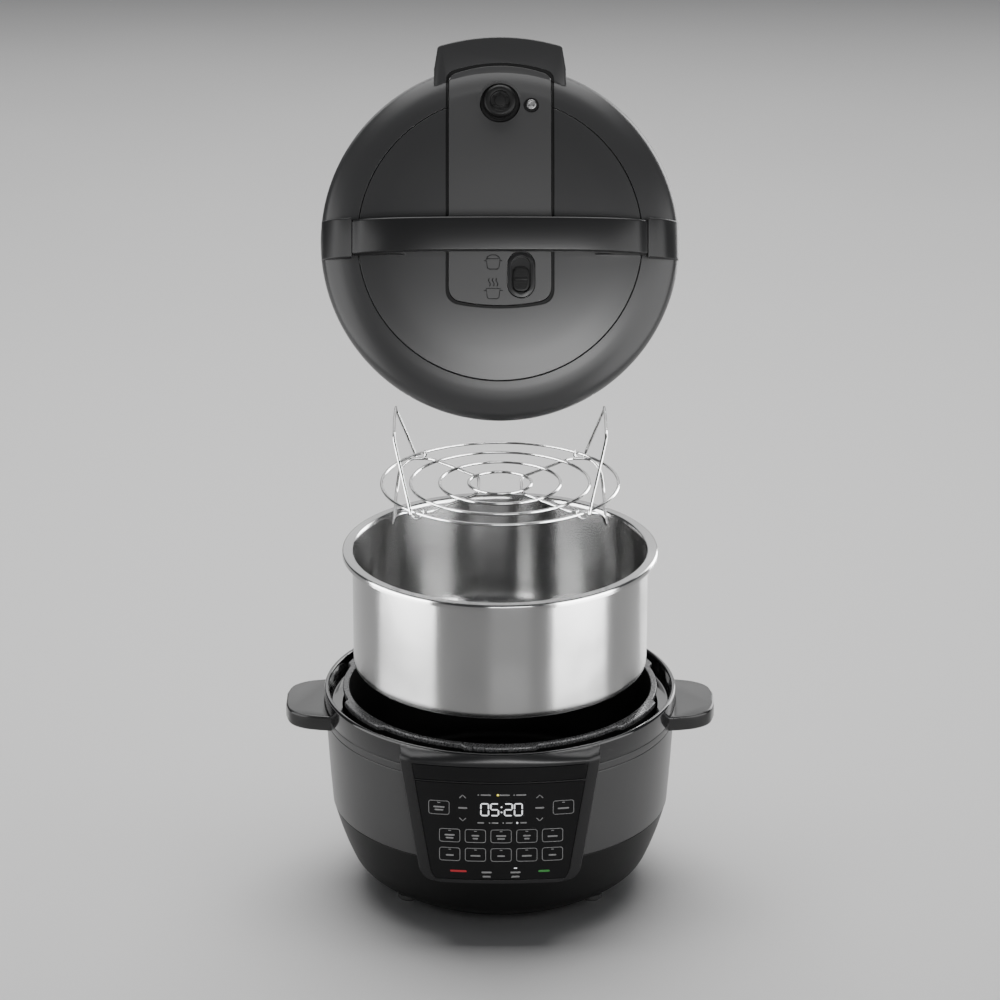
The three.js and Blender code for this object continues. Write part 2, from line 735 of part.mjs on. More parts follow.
function valveCap() {
  return turned([
    [0, 233], [4.7, 233], [4.7, 226.2], [13.6, 226.2], [14.6, 228], [14.6, 238], [13, 239.6],
    [8.6, 239.6], [8, 238.2], [0, 238.2],
  ], 20, 0, VALVE_Y);
}

function floatValve() {
  return turned([
    [0, 200.6], [3.6, 200.6], [3.6, 222], [4.6, 223.4], [4.6, 228], [3.8, 229], [0, 229],
  ], 16, FLOAT_X, FLOAT_Y);
}

function floatSeal() {
  return turned([[0, 196], [5, 196], [5.6, 197], [5.6, 199.4], [4.4, 200.3], [0, 200.3]], 16,
    FLOAT_X, FLOAT_Y);
}

// ---- Assembly ----
function baseGroup() {
  const group = new THREE.Group();
  group.name = 'base_group';
  group.add(
    piece('lower_shell', lowerShell(), matteBlack()),
    piece('base_plate', basePlate(), matteBlack()),
    piece('mid_shell', midShell(), satinGrey()),
    piece('trim_band', trimBand(), satinGrey()),
    piece('top_collar', topCollar(), glossBlack()),
    piece('pot_well', well(), enamelBlack()),
    piece('heating_plate', heatingPlate(), castAluminium()),
    piece('heating_element', heatingElement(), brushedSteel()),
    piece('heat_shield', heatShield(), brushedSteel()),
    piece('temperature_sensor', temperatureSensor(), brushedSteel()),
    piece('panel_shield', panelShield(), darkCharcoal()),
    piece('panel_lens', panelLens(), glossBlack()),
    piece('panel_band', nameBand(), glossBlack()),
    piece('control_board', controlBoard(), circuitGreen()),
    piece('display_module', displayModule(), matteBlack()),
    piece('power_board', powerBoard(), circuitGreen()),
    piece('power_inlet', powerInlet(), matteBlack()),
    piece('collector_bracket', collectorBracket(), matteBlack()),
    piece('collector_cup', collector(), smokedPlastic()),
  );
  [[87, -61], [-87, -61], [87, 61], [-87, 61]].forEach(([x, y], i) => {
    group.add(piece(`foot_${i + 1}`, foot(x, y), rubber()));
  });
  INLET_PINS.forEach((place, i) => {
    group.add(piece(`inlet_pin_${i + 1}`, inletPin(place), brushedSteel()));
  });
  const right = piece('side_handle_right', carryHandle(), matteBlack());
  group.add(right, piece('side_handle_left', mirroredInX(right), matteBlack()));
  return group;
}

function potGroup() {
  const group = new THREE.Group();
  group.name = 'pot_group';
  group.position.z = POT_LIFT;
  group.add(piece('inner_pot', innerPot(), mirrorSteel()));
  return group;
}

function rackGroup() {
  const group = new THREE.Group();
  group.name = 'rack_group';
  group.position.z = POT_LIFT + RACK_LIFT;
  const right = piece('rack_handle_right', rackHandle(), wireSteel());
  group.add(
    piece('rack_grid', rackGrid(), wireSteel()),
    right,
    piece('rack_handle_left', mirroredInX(right), wireSteel()),
  );
  return group;
}

function lidGroup() {
  const group = new THREE.Group();
  group.name = 'lid_group';
  group.position.z = -TILT_HEIGHT;
  const end = piece('handle_end_right', handleEnd(), darkCharcoal());
  group.add(
    piece('lid_ring', lidRing(), satinCharcoal()),
    piece('lid_dome', lidDome(), satinCharcoal()),
    piece('lid_strip', centreStrip(), satinCharcoal()),
    piece('lid_handle', lidHandle(), satinCharcoal()),
    end,
    piece('handle_end_left', mirroredInX(end), darkCharcoal()),
    piece('switch_bezel', switchBezel(), darkCharcoal()),
    piece('release_switch', releaseSwitch(), darkCharcoal()),
    piece('steel_lid', steelLid(), brushedSteel()),
    piece('sealing_ring', sealingRing(), silicone()),
    piece('ring_holder', wireRing(134.8, 207.2, 1.4, 36), wireSteel()),
    piece('lid_nut', lidNut(), brushedSteel()),
    piece('vapour_cap', vapourCap(), brushedSteel()),
    piece('valve_pipe', valvePipe(), brushedSteel()),
    piece('valve_cap', valveCap(), darkCharcoal()),
    piece('float_valve', floatValve(), brushedSteel()),
    piece('float_seal', floatSeal(), silicone()),
  );
  return group;
}

function buildCooker() {
  const cooker = new THREE.Group();
  cooker.name = 'pressure_cooker';
  cooker.position.y = AXIS_Y;
  const lidLift = POT_LIFT + RACK_LIFT + LID_LIFT;
  const tilted = new THREE.Group();
  tilted.name = 'lid_tilted';
  tilted.position.z = TILT_HEIGHT + lidLift;
  tilted.rotation.x = THREE.MathUtils.degToRad(LID_TILT);
  tilted.add(lidGroup());
  cooker.add(baseGroup(), potGroup(), rackGroup(), tilted);
  return cooker;
}

export default buildCooker();
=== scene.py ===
"""Looks of the electric pressure cooker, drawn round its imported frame.

Sizes are in millimetres in the closed cooker: z is 0 at the floor and the turning axis is x = y = 0.
A Place turns them into the frame's metres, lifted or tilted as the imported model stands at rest.
"""

import json
import math

import bmesh
import bpy
from mathutils import Matrix, Vector

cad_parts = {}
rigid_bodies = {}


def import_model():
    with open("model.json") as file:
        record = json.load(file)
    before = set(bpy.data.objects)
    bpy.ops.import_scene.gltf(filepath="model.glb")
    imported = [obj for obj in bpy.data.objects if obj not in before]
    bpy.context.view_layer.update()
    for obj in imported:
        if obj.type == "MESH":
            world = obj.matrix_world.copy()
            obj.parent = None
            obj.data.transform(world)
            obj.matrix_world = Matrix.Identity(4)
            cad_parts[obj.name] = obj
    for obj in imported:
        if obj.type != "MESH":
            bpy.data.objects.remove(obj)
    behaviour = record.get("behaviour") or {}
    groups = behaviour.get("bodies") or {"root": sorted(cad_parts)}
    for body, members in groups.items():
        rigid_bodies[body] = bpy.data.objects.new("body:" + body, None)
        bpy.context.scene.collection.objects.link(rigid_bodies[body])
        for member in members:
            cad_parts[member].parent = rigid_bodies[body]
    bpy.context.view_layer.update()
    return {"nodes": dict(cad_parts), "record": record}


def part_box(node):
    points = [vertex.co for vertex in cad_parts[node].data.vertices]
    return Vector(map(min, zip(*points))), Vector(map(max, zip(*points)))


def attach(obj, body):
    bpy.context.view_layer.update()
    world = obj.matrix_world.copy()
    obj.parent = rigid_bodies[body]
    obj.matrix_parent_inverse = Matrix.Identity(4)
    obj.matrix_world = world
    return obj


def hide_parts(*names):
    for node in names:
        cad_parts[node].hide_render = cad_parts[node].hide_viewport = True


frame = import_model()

RECORD = frame["record"]
BODY_OF = {n: body for body, names in RECORD["behaviour"]["bodies"].items() for n in names}
JOINT = {j["name"]: j for j in RECORD["behaviour"]["joints"]}

# ---- Driving dimensions, closed cooker, millimetres ----
FINE = 180  # steps round a large turned part
BODY_PROFILE = [(110, 6), (121, 12.4), (137, 24), (145.5, 40), (153, 60), (159.7, 82),
                (162.7, 120), (165.2, 160), (166.8, 196)]
COLLAR_RADIUS = 166.8
WELL_RADIUS = 143
FLANGE_TOP = 197
FLANGE_RADIUS = 149
LUG_RADIUS = 153.5
LUG_COUNT = 6
LUG_HALF_ANGLE = 13
POT_RADIUS = 138.6
POT_RIM_RADIUS = 148
POT_TOP = 202.3
POT_FLOOR = 84.3
POT_WALL = 1.4
RACK_RINGS = (110.4, 83.4, 56.3, 29.3)
RACK_WIRE = 1.45
RACK_PLANE = 114
RACK_FOOT = 26
LID_TILT_LEVEL = 219
LID_TOP = [(164.4, 201), (163.2, 206.5), (159.4, 212.4), (150, 218), (140, 221.6),
           (129.7, 224.2), (100, 228.6), (60, 231.6), (0, 233)]
LID_SEAM = 129.7
STRIP_HALF = 46.6
STRIP_FRONT = -61.6
STRIP_BACK = 160
STRIP_END_TOP = 217.6  # level end of the strip, over the tab
TAB_TOP = 216.4
TAB_RADIUS = 187
GROOVE = 2.8  # width of the dark groove round the strip
VALVE = (0, 124.6)
FLOAT = (28.6, 122.6)
SWITCH = (19.2, -33.9)
HANDLE_HALF = 15.5
SIDE_HANDLE_TIP = 203
PANEL_LOW = 66
PANEL_HIGH = 187
LENS_HEIGHTS = (70.0, 168.5)
BAND_HEIGHTS = (170.3, 185.0)
SHEET_EDGE = 0.35  # eased edge of the lens and of the band
INK_LIFT = 0.09
INK_SUNK = 0.02

# ---- Camera and studio, metres ----
LENS_MM = 144
SENSOR_MM = 36
CAMERA_BACK = 3.497
CAMERA_HEIGHT = 1.6975
CAMERA_TILT_DEGREES = 69.38
FLOOR_HALF = 9


# ---- Places ----
def place_at(lift_m):
    """Millimetres about the turning axis to the frame's metres, lifted."""
    return Matrix.Translation((0, AXIS_Y, lift_m)) @ Matrix.Scale(0.001, 4)


def middle_y(node):
    low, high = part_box(node)
    return (low.y + high.y) / 2


AXIS_Y = middle_y("inner_pot")
BASE = place_at(0)
POT = place_at(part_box("inner_pot")[1].z - POT_TOP / 1000)
RACK_TOP = RACK_PLANE + RACK_WIRE * math.sin(math.radians(60))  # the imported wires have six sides
RACK = place_at(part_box("rack_grid")[1].z - RACK_TOP / 1000)
LID_UP = Vector(JOINT["lid_lock"]["axis"])
LID = (Matrix.Translation(JOINT["lid_lock"]["pos_m"])
       @ Vector((0, 0, 1)).rotation_difference(LID_UP).to_matrix().to_4x4()
       @ Matrix.Scale(0.001, 4) @ Matrix.Translation((0, 0, -LID_TILT_LEVEL)))


# ---- Camera ----
def make_camera():
    data = bpy.data.cameras.new("camera")
    data.sensor_width = SENSOR_MM
    data.lens = LENS_MM
    data.clip_end = 60
    camera = bpy.data.objects.new("camera", data)
    camera.location = (0, AXIS_Y - CAMERA_BACK, CAMERA_HEIGHT)
    camera.rotation_euler = (math.radians(CAMERA_TILT_DEGREES), 0, 0)
    bpy.context.scene.collection.objects.link(camera)
    bpy.context.scene.camera = camera


# ---- Outlines ----
def rounded(points, loop=False, steps=5):
    """Outline whose corners are eased: a point is (a, b) or (a, b, size of the easing)."""
    made = []
    for i, point in enumerate(points):
        at_end = not loop and i in (0, len(points) - 1)
        if len(point) == 2 or at_end:
            made.append(tuple(point[:2]))
            continue
        here = Vector(point[:2])
        before = Vector(points[i - 1][:2]) - here
        after = Vector(points[(i + 1) % len(points)][:2]) - here
        size = min(point[2], 0.49 * before.length, 0.49 * after.length)
        start = here + before.normalized() * size
        end = here + after.normalized() * size
        for k in range(steps + 1):
            t = k / steps
            made.append(tuple(start * (1 - t) ** 2 + here * 2 * t * (1 - t) + end * t * t))
    return made


def smooth_line(points, steps=6, loop=False, pull=0.5):
    """Smooth line through points of two or three numbers. A smaller pull keeps it straighter."""
    line = [Vector(p) for p in points]
    count = len(line)
    made = []
    for i in range(count if loop else count - 1):
        b, c = line[i], line[(i + 1) % count]
        a = line[i - 1] if loop or i else 2 * b - c
        d = line[(i + 2) % count] if loop or i + 2 < count else 2 * c - b
        leave, arrive = (c - a) * pull, (d - b) * pull
        for k in range(steps):
            t = k / steps
            made.append(b * (1 - 3 * t * t + 2 * t ** 3) + c * (3 * t * t - 2 * t ** 3)
                        + leave * (t - 2 * t * t + t ** 3) + arrive * (t ** 3 - t * t))
    if not loop:
        made.append(line[-1])
    return [tuple(p) for p in made]


def quadratic(start, control, end, steps=8):
    a, b, c = Vector(start), Vector(control), Vector(end)
    return [tuple(a * (1 - k / steps) ** 2 + b * 2 * (k / steps) * (1 - k / steps)
                  + c * (k / steps) ** 2) for k in range(1, steps + 1)]


def arc(x, y, radius, start, end, steps=12):
    angles = [math.radians(start + (end - start) * k / steps) for k in range(steps + 1)]
    return [(x + radius * math.cos(a), y + radius * math.sin(a)) for a in angles]


def stadium(x, y, radius, straight):
    return arc(x, y + straight, radius, 0, 180, 20) + arc(x, y - straight, radius, 180, 360, 20)


def inset(outline, amount):
    """The outline moved inwards, for a rounded edge."""
    area = sum(a[0] * b[1] - b[0] * a[1] for a, b in zip(outline, outline[1:] + outline[:1]))
    side = 1 if area > 0 else -1
    made = []
    for i, point in enumerate(outline):
        here = Vector(point)
        one = (here - Vector(outline[i - 1])).normalized()
        two = (Vector(outline[(i + 1) % len(outline)]) - here).normalized()
        normal = Vector((-one.y - two.y, one.x + two.x)) * side
        stretch = max(normal.length_squared / 2, 0.4)
        made.append(tuple(here + normal / stretch * amount))
    return made


# ---- Solids: (vertices, faces) ----
def skin(rows, loop_rows=False, loop_columns=True, caps=True):
    """Skin over rows of points that all have the same count."""
    count = len(rows[0])
    vertices = [tuple(p) for row in rows for p in row]
    faces = []
    for r in range(len(rows) if loop_rows else len(rows) - 1):
        for c in range(count if loop_columns else count - 1):
            below, above = r * count, ((r + 1) % len(rows)) * count
            d = (c + 1) % count
            faces.append((below + c, below + d, above + d, above + c))
    if caps and not loop_rows:
        faces.append(tuple(range(count)))
        faces.append(tuple(range((len(rows) - 1) * count, len(rows) * count)))
    return vertices, faces


def turned(profile, count=FINE, x=0, y=0, loop=False):
    """Solid of revolution. profile is a list of (r, z), or a function of the angle in degrees."""
    rows = []
    for c in range(count):
        angle = 360 * c / count
        points = profile(angle) if callable(profile) else profile
        turn = math.radians(angle)
        rows.append([(x + r * math.cos(turn), y + r * math.sin(turn), z) for r, z in points])
    return skin(rows, loop_rows=True, loop_columns=loop)


def slab(outline, low, high, edge=0.0, steps=3):
    """Plan outline raised from low to high, with rounded edges."""
    levels = [(edge, low), (edge, high)]
    if edge:
        quarter = [math.radians(90 * k / steps) for k in range(steps + 1)]
        levels = [(edge * (1 - math.sin(a)), low + edge * (1 - math.cos(a))) for a in quarter]
        levels += [(edge * (1 - math.cos(a)), high - edge * (1 - math.sin(a))) for a in quarter]
    return skin([[(p[0], p[1], z) for p in inset(outline, amount)] for amount, z in levels])


def stood_up(solid):
    """A slab whose outline was (x, z) and whose heights were y."""
    vertices, faces = solid
    return [(x, z, y) for x, y, z in vertices], faces


def mirrored(solid):
    vertices, faces = solid
    return [(-x, y, z) for x, y, z in vertices], faces


def tube(line, radius, sides=14, loop=False):
    """Round wire along a line, with rounded ends."""
    points = [Vector(p) for p in line]
    count = len(points)
    rows = []
    across = None
    for i, point in enumerate(points):
        before = points[i - 1] if loop or i else point
        after = points[(i + 1) % count] if loop or i + 1 < count else point
        along = (after - before).normalized()
        if across is None:
            across = along.orthogonal().normalized()
        across = (across - along * across.dot(along)).normalized()
        other = along.cross(across)
        rings = [(0, 1)]
        if not loop and i in (0, count - 1):
            tips = [(1, 0.02), (0.87, 0.5), (0.5, 0.87), (0, 1)]
            rings = [(-a, b) for a, b in tips] if i == 0 else list(reversed(tips))
        for push, scale in rings:
            rows.append([point + along * push * radius + (across * math.cos(t) + other * math.sin(t))
                         * radius * scale for t in (2 * math.pi * k / sides for k in range(sides))])
    return skin(rows, loop_rows=loop)


def together(*solids):
    """Solids that don't cut each other, as one mesh."""
    vertices, faces = [], []
    for points, polygons in solids:
        start = len(vertices)
        vertices += points
        faces += [tuple(start + i for i in polygon) for polygon in polygons]
    return vertices, faces


def clean_mesh(name, solid):
    mesh = bpy.data.meshes.new(name)
    mesh.from_pydata(solid[0], [], solid[1])
    shape = bmesh.new()
    shape.from_mesh(mesh)
    bmesh.ops.remove_doubles(shape, verts=shape.verts, dist=0.002)
    bmesh.ops.dissolve_degenerate(shape, edges=shape.edges, dist=0.0005)
    bmesh.ops.recalc_face_normals(shape, faces=shape.faces)
    shape.to_mesh(mesh)
    shape.free()
    return mesh


def combined(first, second, how):
    """how is UNION, DIFFERENCE or INTERSECT."""
    objects = [bpy.data.objects.new("tool", clean_mesh("tool", s)) for s in (first, second)]
    for o in objects:
        bpy.context.scene.collection.objects.link(o)
    cutter = objects[0].modifiers.new("cut", "BOOLEAN")
    cutter.object = objects[1]
    cutter.operation = how
    cutter.solver = "EXACT"
    bpy.context.view_layer.update()
    graph = bpy.context.evaluated_depsgraph_get()
    mesh = bpy.data.meshes.new_from_object(objects[0].evaluated_get(graph))
    made = [tuple(v.co) for v in mesh.vertices], [tuple(p.vertices) for p in mesh.polygons]
    for o in objects:
        bpy.data.objects.remove(o)
    bpy.data.meshes.remove(mesh)
    return made


def cut(body, *tools):
    for tool in tools:
        body = combined(body, tool, "DIFFERENCE")
    return body


# ---- Pieces ----
def shown(name, solid, place, finish, sharp_degrees=32):
    mesh = clean_mesh(name, solid)
    mesh.transform(place)
    shape = bmesh.new()
    shape.from_mesh(mesh)
    limit = math.radians(sharp_degrees)
    for face in shape.faces:
        face.smooth = True
    for edge in shape.edges:
        edge.smooth = len(edge.link_faces) == 2 and edge.calc_face_angle(0) < limit
    shape.to_mesh(mesh)
    shape.free()
    mesh.materials.append(finish)
    made = bpy.data.objects.new(name, mesh)
    bpy.context.scene.collection.objects.link(made)
    return made


def piece(node, solid, place, finish, sharp_degrees=32):
    """The fine shape that stands for a CAD node and moves with its body."""
    made = shown(node + "_fine", solid, place, finish, sharp_degrees)
    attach(made, BODY_OF[node])
    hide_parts(node)
    return made


def detail(name, node, solid, place, finish, sharp_degrees=32):
    """A small piece on a CAD node, which stands for no node of its own."""
    made = shown(name, solid, place, finish, sharp_degrees)
    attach(made, BODY_OF[node])
    return made


def paint_recess_shade(made, place, test):
    """Paints the faces that pass the test, in closed-cooker millimetres, near-black: painted shade for
    deep recesses.
    """
    made.data.materials.append(RECESS_SHADE_BLACK)
    back = place.inverted()
    for polygon in made.data.polygons:
        if test(*(back @ polygon.center)):
            polygon.material_index = 1


def dress(finish, *nodes):
    """Gives CAD nodes that keep their own shape a finish."""
    for node in nodes:
        mesh = frame["nodes"][node].data
        mesh.materials.clear()
        mesh.materials.append(finish)


# ---- Finishes ----
class Finish:
    """A Principled material with helpers for its procedural detail."""

    def __init__(self, name, colour, roughness, metallic=0.0, **sockets):
        self.material = bpy.data.materials.new(name)
        self.material.use_nodes = True
        self.nodes = self.material.node_tree.nodes
        self.links = self.material.node_tree.links
        self.shader = self.nodes["Principled BSDF"]
        self.shader.inputs["Base Color"].default_value = (*colour, 1)
        self.shader.inputs["Roughness"].default_value = roughness
        self.shader.inputs["Metallic"].default_value = metallic
        for socket, value in sockets.items():
            self.shader.inputs[socket.replace("_", " ")].default_value = value
        self.colour = colour
        self.roughness = roughness
        self.normal = None
        self.place = self.nodes.new("ShaderNodeTexCoord").outputs["Object"]

    def centred(self):
        """Coordinates about the turning axis."""
        shift = self.nodes.new("ShaderNodeMapping")
        shift.inputs["Location"].default_value = (0, -AXIS_Y, 0)
        self.links.new(self.place, shift.inputs["Vector"])
        self.place = shift.outputs["Vector"]
        return self

    def stretched(self, x, y, z):
        scale = self.nodes.new("ShaderNodeMapping")
        scale.inputs["Scale"].default_value = (x, y, z)
        self.links.new(self.place, scale.inputs["Vector"])
        self.place = scale.outputs["Vector"]
        return self

    def noise(self, size_mm, detail=3.0):
        texture = self.nodes.new("ShaderNodeTexNoise")
        texture.inputs["Scale"].default_value = 1000 / size_mm
        texture.inputs["Detail"].default_value = detail
        self.links.new(self.place, texture.inputs["Vector"])
        return texture.outputs["Fac"]

    def rings(self, pitch_mm, distortion=0.0):
        texture = self.nodes.new("ShaderNodeTexWave")
        texture.wave_type = "RINGS"
        texture.rings_direction = "Z"
        texture.inputs["Scale"].default_value = 1000 / pitch_mm / 20 * math.pi
        texture.inputs["Distortion"].default_value = distortion
        texture.inputs["Detail Scale"].default_value = 0.4
        self.links.new(self.place, texture.inputs["Vector"])
        return texture.outputs["Fac"]

    def spread(self, factor, low, high, from_low=0.3, from_high=0.7):
        remap = self.nodes.new("ShaderNodeMapRange")
        remap.interpolation_type = "SMOOTHSTEP"
        remap.inputs["From Min"].default_value = from_low
        remap.inputs["From Max"].default_value = from_high
        remap.inputs["To Min"].default_value = low
        remap.inputs["To Max"].default_value = high
        self.links.new(factor, remap.inputs["Value"])
        return remap.outputs["Result"]

    def vary_roughness(self, factor, amount):
        made = self.spread(factor, max(self.roughness - amount, 0.01), self.roughness + amount)
        self.links.new(made, self.shader.inputs["Roughness"])
        return self

    def vary_colour(self, factor, other, from_low=0.35, from_high=0.65):
        mix = self.nodes.new("ShaderNodeMix")
        mix.data_type = "RGBA"
        colours = [s for s in mix.inputs if s.type == "RGBA"]
        colours[0].default_value = (*self.colour, 1)
        colours[1].default_value = (*other, 1)
        self.links.new(self.spread(factor, 0, 1, from_low, from_high), mix.inputs[0])
        result = [s for s in mix.outputs if s.type == "RGBA"][0]
        self.links.new(result, self.shader.inputs["Base Color"])
        return self

    def soften_edges(self, radius_mm):
        node = self.nodes.new("ShaderNodeBevel")
        node.samples = 4
        node.inputs["Radius"].default_value = radius_mm / 1000
        self.normal = node.outputs["Normal"]
        self.links.new(self.normal, self.shader.inputs["Normal"])
        return self

    def bump(self, factor, height_mm, strength=1.0):
        node = self.nodes.new("ShaderNodeBump")
        node.inputs["Strength"].default_value = strength
        node.inputs["Distance"].default_value = height_mm / 1000
        self.links.new(factor, node.inputs["Height"])
        if self.normal:
            self.links.new(self.normal, node.inputs["Normal"])
        self.normal = node.outputs["Normal"]
        self.links.new(self.normal, self.shader.inputs["Normal"])
        return self


def moulded(name, colour, roughness, grain_mm=0.6, grain_depth=0.012, edge_mm=0.0, shine=0.5):
    """Textured moulded plastic: fine spark grain, a faint drift in gloss and in colour."""
    made = Finish(name, colour, roughness, Specular_IOR_Level=shine)
    made.vary_colour(made.noise(140, 0), tuple(c * 1.08 for c in colour), 0.2, 0.8)
    made.vary_roughness(made.noise(110, 0), 0.012)
    if edge_mm:
        made.soften_edges(edge_mm)
    made.bump(made.noise(grain_mm, 2), grain_depth, 0.6)
    return made.material


def glossy(name, colour, roughness, shine=0.5, coat=0.0):
    """Polished plastic with the faint orange peel and wipe marks that it has."""
    made = Finish(name, colour, roughness, Specular_IOR_Level=shine, Coat_Weight=coat,
                  Coat_Roughness=0.03)
    made.vary_roughness(made.noise(34, 6), 0.02)
    made.vary_colour(made.noise(60, 3), tuple(c * 1.4 for c in colour))
    made.bump(made.noise(9, 2), 0.008, 0.3)
    return made.material


def polished_steel(name, roughness, pitch_mm):
    """Polished steel with the fine rings that polishing on a lathe leaves; its base colour is darker
    than real steel, painted shade that dims every reflection.
    """
    made = Finish(name, (0.34, 0.34, 0.338), roughness, 1.0, Anisotropic=0.94,
                  Anisotropic_Rotation=0.25).centred()
    made.vary_roughness(made.noise(60, 2), 0.02)
    made.vary_colour(made.noise(80, 1), (0.32, 0.32, 0.32))
    made.bump(made.rings(pitch_mm, 0.05), 0.0015, 0.25)
    return made.material


def brushed(name, colour, roughness, grain_mm=0.35):
    made = Finish(name, colour, roughness, 1.0, Anisotropic=0.5).centred()
    made.vary_roughness(made.noise(14, 6), 0.06)
    made.vary_colour(made.noise(30, 4), tuple(c * 0.85 for c in colour))
    made.soften_edges(0.4)
    made.bump(made.stretched(1, 1, 0.08).noise(grain_mm, 3), 0.006, 0.5)
    return made.material


def wire_finish():
    made = Finish("bright_wire", (0.42, 0.42, 0.417), 0.13, 1.0)
    made.vary_roughness(made.noise(5, 5), 0.05)
    made.vary_colour(made.noise(12, 3), (0.34, 0.34, 0.34))
    made.bump(made.noise(0.5, 2), 0.004, 0.4)
    return made.material


def cast_metal(name, colour, other, roughness, metallic, grain_mm, depth_mm):
    """Cast metal: a pebbled surface with bright and dark specks, as coarse as the grain."""
    made = Finish(name, colour, roughness, metallic)
    made.vary_colour(made.noise(grain_mm * 1.7, 5), other)
    made.vary_roughness(made.noise(grain_mm * 2, 5), 0.12)
    made.soften_edges(0.7)
    made.bump(made.noise(grain_mm, 4), depth_mm, 0.8)
    return made.material


def rubbery(name, colour, roughness, scatter=0.0):
    made = Finish(name, colour, roughness, Subsurface_Weight=scatter)
    made.vary_colour(made.noise(9, 5), tuple(c * 0.86 for c in colour))
    made.vary_roughness(made.noise(4, 4), 0.06)
    made.soften_edges(0.4)
    made.bump(made.noise(0.8, 3), 0.02, 0.5)
    return made.material


def smoked():
    made = Finish("smoked_plastic", (0.06, 0.065, 0.07), 0.12, Transmission_Weight=0.55, IOR=1.49)
    made.vary_roughness(made.noise(16, 5), 0.04)
    made.bump(made.noise(5, 2), 0.01, 0.3)
    return made.material


def ink(name, colour, glow):
    """Printed mark or lit segment. Lit segments glow as the display's lamps; printed marks glow faintly
    as painted light. A little noise in its gloss keeps it from looking cut out.
    """
    made = Finish(name, colour, 0.35, Emission_Color=(*colour, 1), Emission_Strength=glow)
    made.vary_roughness(made.noise(3, 3), 0.08)
    return made.material


SATIN_CHARCOAL = moulded("satin_charcoal", (0.014, 0.014, 0.0144), 0.34, 0.5, 0.008, 0.4)
STRIP_CHARCOAL = moulded("strip_charcoal", (0.020, 0.020, 0.0203), 0.44, 0.5, 0.01, 0.5)
DARK_CHARCOAL = moulded("dark_charcoal", (0.005, 0.005, 0.0053), 0.32, 0.5, 0.006, 0.5, 0.34)
SATIN_GREY = moulded("satin_grey", (0.023, 0.023, 0.0233), 0.30, 0.5, 0.0012)
MATTE_BLACK = moulded("matte_black", (0.0035, 0.0035, 0.0035), 0.42, 0.7, 0.012, 0.0, 0.2)
HANDLE_BLACK = moulded("handle_black", (0.006, 0.006, 0.006), 0.24, 0.6, 0.004)
GLOSS_BLACK = glossy("gloss_black", (0.003, 0.003, 0.0033), 0.10, 0.5, 0.3)
LENS_BLACK = glossy("lens_black", (0.002, 0.002, 0.0022), 0.14, 0.2)
# Near-black that stands for the shade in deep recesses: painted shade.
RECESS_SHADE_BLACK = moulded("painted_recess_shade", (0.002, 0.002, 0.002), 0.5, 0.6, 0.01, 0.0, 0.2)
MIRROR_STEEL = polished_steel("mirror_steel", 0.2, 1.1)
LID_STEEL = polished_steel("lid_steel", 0.16, 0.9)
BRUSHED_STEEL = brushed("brushed_steel", (0.6, 0.6, 0.59), 0.28)
PIN_STEEL = cast_metal("pin_steel", (0.24, 0.24, 0.24), (0.2, 0.2, 0.2), 0.4, 1.0, 0.6, 0.004)
WIRE_STEEL = wire_finish()
CAST_ALUMINIUM = cast_metal("cast_aluminium", (0.42, 0.42, 0.42), (0.3, 0.3, 0.3), 0.42, 1.0, 1.2, 0.03)
FLANGE_CAST = cast_metal("cast_flange", (0.012, 0.012, 0.0125), (0.11, 0.11, 0.112), 0.3, 0.5, 0.8,
                         0.05)
RUBBER = rubbery("rubber", (0.004, 0.004, 0.004), 0.75)
SILICONE = rubbery("silicone", (0.69, 0.66, 0.60), 0.5, 0.15)
CIRCUIT = moulded("circuit_board", (0.014, 0.1, 0.036), 0.45, 1.5, 0.02, 0.3)
SMOKED = smoked()
# The printed white ink glows a little though it is no lamp: painted light.
WHITE_INK_PAINTED_GLOW = ink("white_ink_painted_glow", (0.5, 0.5, 0.5), 0.05)
LIT_WHITE = ink("lit_white", (0.95, 0.97, 1.0), 1.2)
LIT_YELLOW = ink("lit_yellow", (0.9, 0.8, 0.1), 1.4)
# The red and green printed marks glow though they are no lamps: painted light.
RED_INK_PAINTED_GLOW = ink("red_ink_painted_glow", (0.55, 0.02, 0.03), 0.35)
GREEN_INK_PAINTED_GLOW = ink("green_ink_painted_glow", (0.05, 0.32, 0.06), 0.35)


# ---- Base ----
def body_radius(height):
    for (r0, z0), (r1, z1) in zip(BODY_PROFILE, BODY_PROFILE[1:]):
        if height <= z1:
            return r0 + (r1 - r0) * (height - z0) / (z1 - z0)
    return BODY_PROFILE[-1][0]


def is_lug(angle, first=30):
    """How far a lug stands out at an angle, from 0 to 1, with short ramps at its ends."""
    step = 360 / LUG_COUNT
    away = abs((angle - first + step / 2) % step - step / 2)
    return min(max((LUG_HALF_ANGLE + 0.6 - away) / 1.2, 0), 1)


